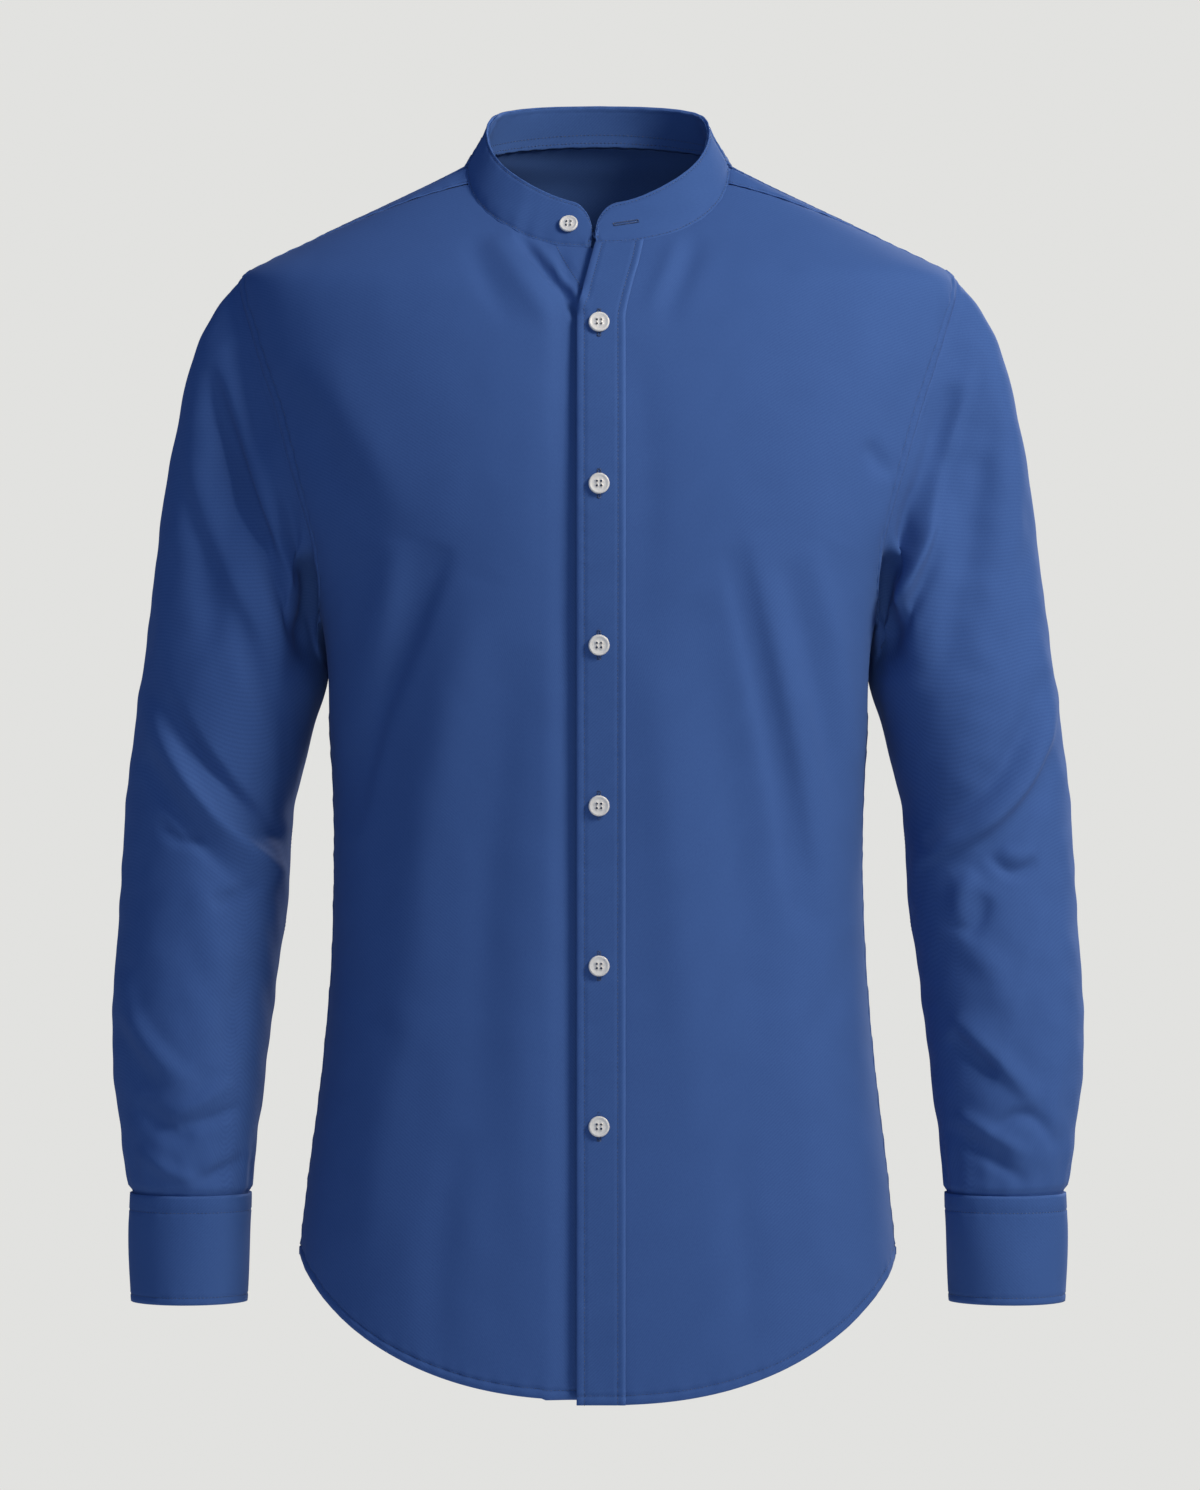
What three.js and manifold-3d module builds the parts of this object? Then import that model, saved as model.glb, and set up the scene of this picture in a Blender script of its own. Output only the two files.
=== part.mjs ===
// A long-sleeved shirt with a mandarin collar, filled out as if it were worn, with nobody in it.
// Millimetres. +Z is up, the front faces -Y and +X is the wearer's left. The origin lies midway
// between the two points where the collar seam crosses the top of the shoulders.
import * as THREE from "three";
import { mergeVertices } from "three/addons/utils/BufferGeometryUtils.js";
import Module from "manifold-3d";

// Driving sizes
const clothWall = 1.6;
const bandWall = 2.2;
const stripWall = 1.2;
const seamGap = 0.3;
const edgeDrawIn = 0.21;
const bandFootGap = 0.5;
const armSeamGap = 0.6;
const girthPower = 2.4;
const neckHalfWidth = 82;
const neckSideZ = -1.5;
const neckFrontDrop = 50;
const neckBackRise = 15.5;
const neckPower = 0.89;
const shoulderTipZ = -69;
const underarmZ = -288;
const armDentDepth = 9;
const sideHemZ = -684;
const tailDropLeft = 86;
const tailDropRight = 83;
const tailDropBack = 87;
const cuffTopZ = -646;
const cuffHeight = 69;
const cuffOuter = { top: 294.6, bottom: 294.2 };
const cuffInner = { top: 218, bottom: 221 };
const cuffCentreY = { top: -11, bottom: -15.5 };
const cuffHalfDepth = 37.4;
const cuffLap = { start: 284, rise: 262, end: 310 };
const placketWidth = 30.4;
const placketEdgeX = -13.3;
const underlapDepth = 3.4;
const underlapWidth = 50;
const underlapRamp = 17;
const collarSpreadZ = -98;
const buttonX = 0.6;
const buttonTopZ = -103.3;
const buttonPitch = 99;
const frontButtons = 6;
const buttonDiameter = 13;
const collarButtonDiameter = 11.8;
const cuffButtonDiameter = 11.8;
const sewingHole = 1.5;
const sewingSpread = 1.35;
const slitTurn = 255;
const slitRows = 7;
const slitColumns = 4;

const degree = Math.PI / 180;
const clamp01 = (t) => Math.min(1, Math.max(0, t));
const mix = (a, b, t) => a + (b - a) * t;
const smooth = (t) => clamp01(t) ** 2 * (3 - 2 * clamp01(t));
const steps = (from, to, count) =>
  Array.from({ length: count + 1 }, (_, i) => mix(from, to, i / count));
const upTo = (last) => Array.from({ length: last + 1 }, (_, i) => i);
const vec = (x, y, z) => new THREE.Vector3(x, y, z);
const power = (value, exponent) => Math.sign(value) * Math.abs(value) ** exponent;

// Level sections of the body: height, half width, and the reach of front and back from the side seams.
const bodySections = [
  { z: 16, halfWidth: 62, front: 2, back: 55 },
  { z: 8, halfWidth: 72, front: 3, back: 63 },
  { z: 0, halfWidth: 80.5, front: 4, back: 69 },
  { z: -11, halfWidth: 101.5, front: 16.5, back: 77 },
  { z: -23, halfWidth: 126.8, front: 31, back: 82.5 },
  { z: -42, halfWidth: 167.5, front: 54, back: 89 },
  { z: -56, halfWidth: 196, front: 72, back: 93 },
  { z: -69, halfWidth: 221, front: 86, back: 96 },
  { z: -80, halfWidth: 226, front: 94, back: 98 },
  { z: -100, halfWidth: 225, front: 103, back: 101 },
  { z: -140, halfWidth: 219.5, front: 115, back: 104 },
  { z: -180, halfWidth: 211, front: 122.5, back: 104.5 },
  { z: -220, halfWidth: 199, front: 125.5, back: 103 },
  { z: -260, halfWidth: 183, front: 125, back: 100 },
  { z: -300, halfWidth: 174, front: 123, back: 97 },
  { z: -340, halfWidth: 170.6, front: 120, back: 93.5 },
  { z: -390, halfWidth: 167, front: 116, back: 90 },
  { z: -440, halfWidth: 166, front: 113, back: 88.5 },
  { z: -490, halfWidth: 167.4, front: 112, back: 91 },
  { z: -540, halfWidth: 171, front: 113, back: 97 },
  { z: -590, halfWidth: 176, front: 115, back: 103 },
  { z: -640, halfWidth: 182.5, front: 118, back: 109 },
  { z: -690, halfWidth: 187.7, front: 120, back: 113 },
  { z: -765, halfWidth: 191, front: 122, back: 116 },
];

// Level sections of a sleeve below the underarm: outer and inner edge as seen from the front.
const sleeveSections = [
  { z: -330, outer: 288.8, inner: 173.8, centreY: 12, halfDepth: 61 },
  { z: -350, outer: 291.2, inner: 178.2, centreY: 12.6, halfDepth: 60 },
  { z: -372, outer: 294.8, inner: 183.8, centreY: 13.2, halfDepth: 59 },
  { z: -387, outer: 297.3, inner: 187.6, centreY: 13.5, halfDepth: 58 },
  { z: -405, outer: 299.2, inner: 192.2, centreY: 13, halfDepth: 57 },
  { z: -430, outer: 300, inner: 193.4, centreY: 12, halfDepth: 56 },
  { z: -463, outer: 302, inner: 196.6, centreY: 9, halfDepth: 55 },
  { z: -500, outer: 304.8, inner: 201, centreY: 5, halfDepth: 54 },
  { z: -540, outer: 306.4, inner: 205.8, centreY: 1, halfDepth: 52 },
  { z: -565, outer: 305.8, inner: 209.5, centreY: -2, halfDepth: 50 },
  { z: -590, outer: 303.6, inner: 212.4, centreY: -5, halfDepth: 47.5 },
  { z: -615, outer: 300.4, inner: 215.8, centreY: -7.5, halfDepth: 44 },
  { z: -634, outer: 296.8, inner: 217.6, centreY: -9.5, halfDepth: 40.5 },
  { z: -646, outer: 294.6, inner: 218, centreY: -11, halfDepth: 38.3 },
];

// Height of the collar's top edge by the turn from the centre front (0) to the centre back (180).
const collarTop = [
  { turn: -10, z: -29 },
  { turn: 0, z: -28.5 },
  { turn: 15, z: -25 },
  { turn: 26, z: -20.2 },
  { turn: 39, z: -13.2 },
  { turn: 57, z: -2.5 },
  { turn: 73, z: 8.4 },
  { turn: 90, z: 20.5 },
  { turn: 107, z: 30.5 },
  { turn: 130, z: 36 },
  { turn: 155, z: 39 },
  { turn: 180, z: 40 },
];
const collarTopHalfWidth = 69;
const collarTopFront = 50;
const collarTopBack = 53;

// Soft folds on the body as straight runs in the front view: ends, half width and height. A minus
// height is a trough.
const frontFolds = [
  { x0: -92, z0: -238, x1: -140, z1: -430, width: 17, height: -6 },
  { x0: -70, z0: -270, x1: -112, z1: -560, width: 21, height: 4 },
  { x0: -46, z0: -330, x1: -78, z1: -640, width: 16, height: -2.5 },
  { x0: 84, z0: -232, x1: 140, z1: -500, width: 12, height: 5 },
  { x0: 122, z0: -240, x1: 160, z1: -420, width: 11, height: 4 },
  { x0: 66, z0: -250, x1: 104, z1: -520, width: 18, height: -4.5 },
  { x0: 30, z0: -300, x1: 62, z1: -640, width: 18, height: 2.5 },
];
const backFolds = [
  { x0: -96, z0: -170, x1: -84, z1: -520, width: 20, height: 5 },
  { x0: 92, z0: -180, x1: 78, z1: -560, width: 20, height: 5 },
  { x0: -60, z0: -230, x1: -44, z1: -600, width: 18, height: -5 },
  { x0: 54, z0: -240, x1: 42, z1: -600, width: 18, height: -5 },
  { x0: -140, z0: -260, x1: -118, z1: -500, width: 16, height: -4.5 },
  { x0: 138, z0: -250, x1: 112, z1: -480, width: 16, height: -4.5 },
  { x0: 0, z0: -330, x1: 4, z1: -640, width: 22, height: 4 },
];
// Folds round a sleeve: turn in degrees from the outside (0) over the front (90) to the inside (180).
const sleeveFolds = [
  { turn0: 66, z0: -150, turn1: 128, z1: -300, width: 14, height: 5 },
  { turn0: 48, z0: -160, turn1: 104, z1: -330, width: 13, height: -5 },
  { turn0: 20, z0: -345, turn1: 160, z1: -452, width: 13, height: 6 },
  { turn0: 62, z0: -352, turn1: 170, z1: -425, width: 12, height: -6 },
  { turn0: 26, z0: -425, turn1: 96, z1: -455, width: 10, height: -5 },
  { turn0: 200, z0: -430, turn1: 330, z1: -400, width: 13, height: -6 },
  { turn0: 190, z0: -395, turn1: 320, z1: -372, width: 13, height: 5 },
  { turn0: 20, z0: -545, turn1: 90, z1: -602, width: 10, height: -4.5 },
  { turn0: 60, z0: -590, turn1: 150, z1: -570, width: 10, height: 4 },
  { turn0: 200, z0: -560, turn1: 310, z1: -600, width: 11, height: -4.5 },
];

/** Value of one named column of a table at a key, by a cubic through its rows. */
function column(table, key, name, at) {
  const falling = table[1][key] < table[0][key];
  const last = table.length - 1;
  let i = table.findIndex((row) => (falling ? row[key] <= at : row[key] >= at)) - 1;
  if (i < -1) i = last - 1;
  i = Math.min(last - 1, Math.max(0, i));
  const slope = (k) => {
    const before = table[Math.max(0, k - 1)];
    const after = table[Math.min(last, k + 1)];
    return (after[name] - before[name]) / (after[key] - before[key]);
  };
  const [start, end] = [table[i], table[i + 1]];
  const span = end[key] - start[key];
  const t = clamp01((at - start[key]) / span);
  return (
    start[name] * (1 + 2 * t) * (1 - t) ** 2 +
    slope(i) * span * t * (1 - t) ** 2 +
    end[name] * t * t * (3 - 2 * t) +
    slope(i + 1) * span * t * t * (t - 1)
  );
}

const section = (z) => ({
  halfWidth: column(bodySections, "z", "halfWidth", z),
  front: column(bodySections, "z", "front", z),
  back: column(bodySections, "z", "back", z),
});

/** Height of a set of folds at a place in the plane that they are drawn in. */
function relief(folds, across, down, names) {
  return folds.reduce((sum, fold) => {
    const runX = fold[names[1]] - fold[names[0]];
    const runZ = fold.z1 - fold.z0;
    const offX = across - fold[names[0]];
    const offZ = down - fold.z0;
    const length2 = runX * runX + runZ * runZ;
    const along = (offX * runX + offZ * runZ) / length2;
    const away = (offX * runZ - offZ * runX) / Math.sqrt(length2);
    const taper = 1 - (2 * clamp01(along) - 1) ** 2;
    return sum + fold.height * Math.exp(-((away / fold.width) ** 2)) * taper;
  }, 0);
}

/** Where the arm presses the side of the body in, just behind the side seam. */
function armDent(x, y, z) {
  const size = armDentDepth * smooth((z + 358) / 40) * smooth((-225 - z) / 50);
  return Math.sign(x) * size * Math.exp(-(((y - 8) / 36) ** 2));
}

/** The body's surface at height z, in the direction of x and y, with its outward normal. */
function onBody(x, y, z, lift = 0) {
  const { halfWidth, front, back } = section(z);
  const depth = y < 0 ? front : back;
  const farness = Math.abs(x / halfWidth) ** girthPower + Math.abs(y / depth) ** girthPower;
  const reach = farness ** (1 / girthPower);
  const place = vec(x / reach, y / reach, z);
  const rise = 0.5;
  const above = section(z + rise);
  const below = section(z - rise);
  const shareX = Math.abs(place.x / halfWidth) ** girthPower;
  const shareY = Math.abs(place.y / depth) ** girthPower;
  const depthName = y < 0 ? "front" : "back";
  const growth =
    (shareX * (below.halfWidth - above.halfWidth)) / halfWidth +
    (shareY * (below[depthName] - above[depthName])) / depth;
  const normal = vec(
    power(place.x / halfWidth, girthPower - 1) / halfWidth,
    power(place.y / depth, girthPower - 1) / depth,
    growth / (2 * rise),
  ).normalize();
  const folds = y < 0 ? frontFolds : backFolds;
  const away = smooth(Math.abs(place.y) / 40);
  const height = away * relief(folds, place.x, z, ["x0", "x1"]) + lift;
  place.addScaledVector(normal, height);
  place.x -= armDent(place.x, place.y, z);
  return { place, normal };
}

/** A point of the body given by its place in the front view (or back view). */
function fromView(x, z, side) {
  const { halfWidth, front, back } = section(z);
  const share = Math.max(0, 1 - Math.min(1, Math.abs(x / halfWidth)) ** girthPower);
  const depth = (side < 0 ? front : back) * share ** (1 / girthPower);
  return vec(x, side * Math.max(depth, 1e-6), z);
}

/** The collar seam on the wearer's left, by the turn from centre front (0) to centre back (180). */
function neckSeam(turn) {
  const side = turn < 90 ? -1 : 1;
  const across = neckHalfWidth * power(Math.sin(turn * degree), neckPower);
  const fall = Math.abs(Math.cos(turn * degree));
  const z = side < 0 ? neckSideZ - neckFrontDrop * fall ** neckPower : neckSideZ + neckBackRise * fall;
  return fromView(across, z, side);
}
const neckTurnAt = (x) => Math.asin(power(x / neckHalfWidth, 1 / neckPower)) / degree;

/** The armhole seam on the wearer's left: 0 is the top, 90 the front, 180 the underarm. */
function armhole(turn) {
  const rise = Math.cos(turn * degree);
  const swing = Math.sin(turn * degree);
  const z = mix(underarmZ, shoulderTipZ, (1 + rise) / 2);
  const spread = (swing > 0 ? 25.5 : 26.5) * Math.abs(swing) * (0.97 - 0.17 * rise) * degree;
  const { halfWidth, front, back } = section(z);
  const x = halfWidth * Math.cos(spread) ** (2 / girthPower);
  const depth = Math.sin(spread) ** (2 / girthPower);
  return vec(x, swing > 0 ? -front * depth : back * depth, z);
}

const hemZ = (x, y, drop) => {
  const { halfWidth } = section(-700);
  const along = Math.min(1, Math.abs(x / halfWidth)) ** girthPower;
  return sideHemZ - drop * (1 - along) ** 0.74;
};

// Turns and counts that neighbouring pieces share, so that their edges run side by side.
const shoulderNeckTurn = 79.5;
const shoulderSeamTurn = 14;
const yokeCornerTurn = 312;
const armFrontTurns = [...steps(shoulderSeamTurn, 84, 5), ...steps(84, 180, 7).slice(1)];
const armBackTurns = steps(180, yokeCornerTurn, 8);
const armYokeTurns = steps(yokeCornerTurn, 360 + shoulderSeamTurn, 5);
const bodyLevels = 13;
const acrossShoulder = 6;
const acrossBackHalf = 10;
const leftStrip = [0, 4.4, 9, 15.2, 22.8, placketWidth];
const rightStrip = [0, 4, 9, 19.5, 26, 33, 50];
const yokeSeamZ = (x) => -92 - 14 * (x / 205) ** 2;

/** The front edge of a front: the wearer's left lies over the right, and both spread at the collar. */
function frontEdge(z, isLeft) {
  const spread = clamp01((z - collarSpreadZ) / 44);
  return isLeft ? placketEdgeX + 11.5 * spread ** 1.2 : 17 - 21 * spread ** 1.5;
}

/** Turns of the collar seam on one front, from its front edge to the shoulder seam. */
function neckTurns(isLeft) {
  const flip = isLeft ? 1 : -1;
  const edge = flip * frontEdge(neckSideZ - neckFrontDrop, isLeft);
  const strip = (isLeft ? leftStrip : rightStrip).map((off) => neckTurnAt(edge + off));
  return [...strip, ...steps(strip[strip.length - 1], shoulderNeckTurn, isLeft ? 5 : 4).slice(1)];
}

/** A wall between an outer and an inner grid of points, closed along its edges. */
function wall(outer, inner, isTube = false) {
  const rows = outer.length;
  const columns = outer[0].length;
  const points = [...outer.flat(), ...inner.flat()];
  const out = (r, c) => r * columns + (c % columns);
  const inn = (r, c) => rows * columns + out(r, c);
  const faces = [];
  const quad = (a, b, c, d) => faces.push([a, b, c], [a, c, d]);
  const cells = isTube ? columns : columns - 1;
  for (let r = 0; r < rows - 1; r++) {
    for (let c = 0; c < cells; c++) {
      quad(out(r, c), out(r + 1, c), out(r + 1, c + 1), out(r, c + 1));
      quad(inn(r, c), inn(r, c + 1), inn(r + 1, c + 1), inn(r + 1, c));
    }
    if (!isTube) {
      quad(out(r, 0), inn(r, 0), inn(r + 1, 0), out(r + 1, 0));
      quad(out(r + 1, cells), inn(r + 1, cells), inn(r, cells), out(r, cells));
    }
  }
  for (let c = 0; c < cells; c++) {
    quad(out(0, c), out(0, c + 1), inn(0, c + 1), inn(0, c));
    quad(inn(rows - 1, c), inn(rows - 1, c + 1), out(rows - 1, c + 1), out(rows - 1, c));
  }
  const volume = faces.reduce((sum, [a, b, c]) => {
    const cross = points[b].clone().cross(points[c]);
    return sum + points[a].dot(cross);
  }, 0);
  if (volume < 0) faces.forEach((face) => face.reverse());
  const geometry = new THREE.BufferGeometry().setFromPoints(points);
  geometry.setIndex(faces.flat());
  geometry.computeVertexNormals();
  return geometry;
}

/** Draws the edges of a grid in by half a seam, so that two pieces that meet there stay apart. */
function drawIn(grid, by = edgeDrawIn) {
  const moved = grid.map((row) => row.map((p) => p.place.clone()));
  const rows = grid.length - 1;
  const columns = grid[0].length - 1;
  const pull = (r, c, towardR, towardC) => {
    const step = grid[towardR][towardC].place.clone().sub(grid[r][c].place).normalize();
    moved[r][c].addScaledVector(step, by);
  };
  for (let r = 0; r <= rows; r++) {
    pull(r, 0, r, 1);
    pull(r, columns, r, columns - 1);
  }
  for (let c = 0; c <= columns; c++) {
    pull(0, c, 1, c);
    pull(rows, c, rows - 1, c);
  }
  return moved.map((row, r) => row.map((place, c) => ({ place, normal: grid[r][c].normal })));
}

const offset = (grid, by) =>
  grid.map((row) => row.map((p) => p.place.clone().addScaledVector(p.normal, by)));
const mirrored = (grid) =>
  grid.map((row) =>
    row.map((p) => ({
      place: p.place.clone().multiply(vec(-1, 1, 1)),
      normal: p.normal.clone().multiply(vec(-1, 1, 1)),
    })),
  );
const panelWall = (grid, thickness = clothWall) => {
  const inset = drawIn(grid);
  return wall(offset(inset, 0), offset(inset, -thickness));
};

/** How far the right front sinks under the placket, where the left front stays on top. */
function underlap(x, z, isLeft) {
  if (isLeft) return 0;
  const fromEdge = frontEdge(z, false) - x;
  return -underlapDepth * smooth((underlapWidth - fromEdge) / underlapRamp);
}

/** The shoulder seam on the wearer's left, from the collar to the armhole. */
const shoulderSeam = (u) => neckSeam(shoulderNeckTurn).lerp(armhole(shoulderSeamTurn), u);

/** One front: rows from the collar and shoulder down to the hem, each from the front edge outwards. */
function frontGrid(isLeft) {
  const flip = isLeft ? 1 : -1;
  const drop = isLeft ? tailDropLeft : tailDropRight;
  const strip = isLeft ? leftStrip : rightStrip;
  const flipped = (p) => p.multiply(vec(flip, 1, 1));
  const hemFrontZ = sideHemZ - drop;
  const armRows = armFrontTurns.length;
  const neck = neckTurns(isLeft).map((turn) => flipped(neckSeam(turn)));
  const shoulder = steps(0, 1, acrossShoulder).slice(1).map((u) => flipped(shoulderSeam(u)));
  const top = [...neck, ...shoulder].slice(strip.length - 1);
  const cells = top.length - 1;
  const topZ = neck[0].z;
  const frontZ = (r) =>
    r < armRows
      ? mix(topZ, underarmZ - 14, r / (armRows - 1))
      : mix(underarmZ - 14, hemFrontZ, (r - armRows + 1) / bodyLevels);
  const outerEdge = (r) => {
    if (r < armRows) return flipped(armhole(armFrontTurns[r]));
    const z = mix(underarmZ, sideHemZ, (r - armRows + 1) / bodyLevels);
    return vec(flip * section(z).halfWidth, -0.01, z);
  };
  const stripPoint = (off, z) => fromView(frontEdge(z, isLeft) + flip * off, z, -1);
  const last = armRows + bodyLevels - 1;
  const hemStart = stripPoint(strip[strip.length - 1], hemFrontZ);
  const hem = steps(0, 1, cells).map((u) => hemStart.clone().lerp(outerEdge(last), u));
  const settle = (p, z = p.z) => onBody(p.x, p.y, z, underlap(p.x, z, isLeft));
  return upTo(last).map((r) => {
    const down = (frontZ(r) - topZ) / (hemFrontZ - topZ);
    const first = strip.map((off, i) => (r === 0 ? neck[i] : stripPoint(off, frontZ(r))));
    const inner = first[first.length - 1];
    const outer = outerEdge(r);
    const rest = steps(0, 1, cells).slice(1).map((u, k) => {
      const p = vec(0, 0, 0)
        .addScaledVector(top[k + 1], 1 - down)
        .addScaledVector(hem[k + 1], down)
        .addScaledVector(inner, 1 - u)
        .addScaledVector(outer, u)
        .addScaledVector(top[0], -(1 - u) * (1 - down))
        .addScaledVector(top[cells], -u * (1 - down))
        .addScaledVector(hem[0], -(1 - u) * down)
        .addScaledVector(hem[cells], -u * down);
      return r === 0 ? top[k + 1] : p;
    });
    const hemShare = smooth((r - armRows + 1) / bodyLevels) ** 1.5;
    return [...first, ...rest].map((p, c) => {
      const u = Math.max(0, c - strip.length + 1) / cells;
      const place = onBody(p.x, p.y, p.z).place;
      const shift = hemZ(place.x, place.y, drop) - mix(hemFrontZ, sideHemZ, u);
      return settle(p, p.z + (c < strip.length ? 0 : hemShare * shift));
    });
  });
}

/** Half of the back, from the centre back to the armhole or side, below the yoke. */
function backHalfGrid() {
  const armRows = armBackTurns.length;
  const corner = armhole(yokeCornerTurn);
  const rows = [];
  for (let r = 0; r < armRows + bodyLevels; r++) {
    const inArm = r < armRows;
    const level = (r - armRows + 1) / bodyLevels;
    const armShare = r / (armRows - 1);
    const sideZ = inArm ? 0 : mix(underarmZ, sideHemZ, level);
    const end = inArm
      ? armhole(armBackTurns[armRows - 1 - r])
      : vec(section(sideZ).halfWidth, 0.01, sideZ);
    const hemBack = sideHemZ - tailDropBack;
    const centreZ = inArm ? mix(yokeSeamZ(0), underarmZ, armShare) : mix(underarmZ, hemBack, level);
    const start = vec(0, section(centreZ).back, centreZ);
    const hemShare = smooth(level) ** 1.5;
    rows.push(
      steps(0, 1, acrossBackHalf).map((u) => {
        const chord = start.clone().lerp(end, u);
        const first = onBody(chord.x, chord.y, chord.z).place;
        const seamX = corner.x * u;
        const seam = yokeSeamZ(seamX) - mix(yokeSeamZ(0), yokeSeamZ(corner.x), u);
        const hem = hemZ(first.x, 1, tailDropBack) - mix(hemBack, sideHemZ, u);
        const shift = inArm ? (1 - armShare) * seam : hemShare * hem;
        return onBody(chord.x, chord.y, chord.z + shift);
      }),
    );
  }
  return rows;
}

/** The whole back or yoke from its left half, whose first column lies on the centre back. */
function whole(half) {
  const right = mirrored(half);
  return half.map((row, r) => [...right[r].slice(1).reverse(), ...row]);
}

/** The turns of the collar seam that the yoke's lines start from, centre back first. */
const neckBackTurns = steps(180, shoulderNeckTurn, armYokeTurns.length - 1 + acrossBackHalf);

/** Half of the yoke: lines from the collar seam out to the back seam and over the shoulder. */
function yokeHalfGrid() {
  const backTop = backHalfGrid()[0].map((p) => p.place);
  const outer = [...backTop, ...armYokeTurns.slice(1).map(armhole)];
  const lines = neckBackTurns.map((turn, i) => {
    const start = neckSeam(turn);
    return steps(0, 1, acrossShoulder).map((u) => {
      const chord = start.clone().lerp(outer[i], u);
      return onBody(chord.x, chord.y, chord.z);
    });
  });
  return upTo(acrossShoulder).map((r) => lines.map((line) => line[r]));
}

const collarButtonColumn = 3;

/** Share of the band's height at each column from its rounded front end. */
const bandEndRise = [0.28, 0.76, 0.94];

/** Half of the collar band as columns from foot to top, from its front end to the centre back. */
function collarGrid(isLeft) {
  const flip = isLeft ? 1 : -1;
  const turns = [...neckTurns(isLeft), ...[...neckBackTurns].reverse().slice(1)];
  return turns.map((turn, i) => {
    const seam = neckSeam(turn);
    const x = flip * seam.x;
    const foot = onBody(x, seam.y, seam.z, turn < 90 ? underlap(x, seam.z, isLeft) : 0).place;
    const depth = turn < 90 ? collarTopFront : collarTopBack;
    const top = vec(
      flip * collarTopHalfWidth * power(Math.sin(turn * degree), 0.95),
      -depth * Math.cos(turn * degree),
      column(collarTop, "turn", "z", turn),
    );
    top.y += isLeft ? 0 : 1.2 * smooth((40 - turn) / 20);
    return { foot, top, rise: bandEndRise[i] ?? 1 };
  });
}

/** The collar band's middle surface: from the wearer's right end round the back to the left end. */
function bandGrid() {
  const columns = [...collarGrid(false).slice(0, -1), ...collarGrid(true).reverse()];
  const grid = [0, 0.34, 0.68, 1].map((share) =>
    columns.map(({ foot, top, rise }) => {
      const up = top.clone().sub(foot);
      return { place: foot.clone().addScaledVector(up, share * rise), up: up.normalize() };
    }),
  );
  grid.forEach((row) =>
    row.forEach((p, c) => {
      const before = row[Math.max(0, c - 1)].place;
      const after = row[Math.min(row.length - 1, c + 1)].place;
      p.normal = p.up.clone().cross(after.clone().sub(before)).normalize();
      if (p.normal.dot(vec(p.place.x, p.place.y, 0)) < 0) p.normal.negate();
    }),
  );
  grid[0].forEach((p) => p.place.addScaledVector(p.up, bandFootGap));
  return grid;
}

const sleeveTurns = [
  ...armYokeTurns.slice(0, -1).map((turn) => turn - 360),
  ...armFrontTurns,
  ...armBackTurns.slice(1, -1),
];
const capRows = 7;
const sleeveRows = 15;

/** A sleeve's ring of points at height z below the underarm, as a place for each turn. */
function sleeveRing(turn, z) {
  const outer = column(sleeveSections, "z", "outer", z);
  const inner = column(sleeveSections, "z", "inner", z);
  const depth = column(sleeveSections, "z", "halfDepth", z);
  const centreY = column(sleeveSections, "z", "centreY", z);
  const across = Math.cos(turn * degree);
  return vec(mix(inner, outer, (1 + across) / 2), centreY - depth * Math.sin(turn * degree), z);
}

/** A line of the sleeve cap from the armhole to the first level ring, leaving the body smoothly. */
function capPoint(turn, share) {
  const capEndZ = sleeveSections[0].z;
  const start = armhole(turn);
  start.x -= armDent(start.x, start.y, start.z);
  const end = sleeveRing(turn, capEndZ);
  const along = armhole(turn + 1).sub(armhole(turn - 1)).normalize();
  const { normal } = onBody(start.x, start.y, start.z);
  const outward = along.clone().cross(normal).normalize();
  if (outward.dot(vec(1, 0, Math.cos(turn * degree) * -0.5)) < 0) outward.negate();
  const under = (1 - Math.cos(turn * degree)) / 2;
  const hang = vec(0.15 + 0.5 * under, 0, -1).normalize();
  const crown = smooth((Math.cos(turn * degree) - 0.25) / 0.75);
  const crownLeave = vec(0.82, -0.3 * Math.sin(turn * degree), -0.57);
  const leave = outward.clone()
    .lerp(hang, mix(0.36, 1, smooth(under * 1.15)))
    .lerp(crownLeave, crown)
    .normalize();
  const arrive = sleeveRing(turn, capEndZ - 1).sub(end).normalize();
  start.addScaledVector(outward, armSeamGap).addScaledVector(normal, 0.25);
  const length = start.distanceTo(end);
  const leaveReach = length * mix(0.88, 0.6, crown);
  const arriveReach = length * mix(0.88, 1.3, crown);
  const t = share;
  return start
    .multiplyScalar((1 + 2 * t) * (1 - t) ** 2)
    .addScaledVector(leave, leaveReach * t * (1 - t) ** 2)
    .addScaledVector(end, t * t * (3 - 2 * t))
    .addScaledVector(arrive, arriveReach * t * t * (t - 1));
}

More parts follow.
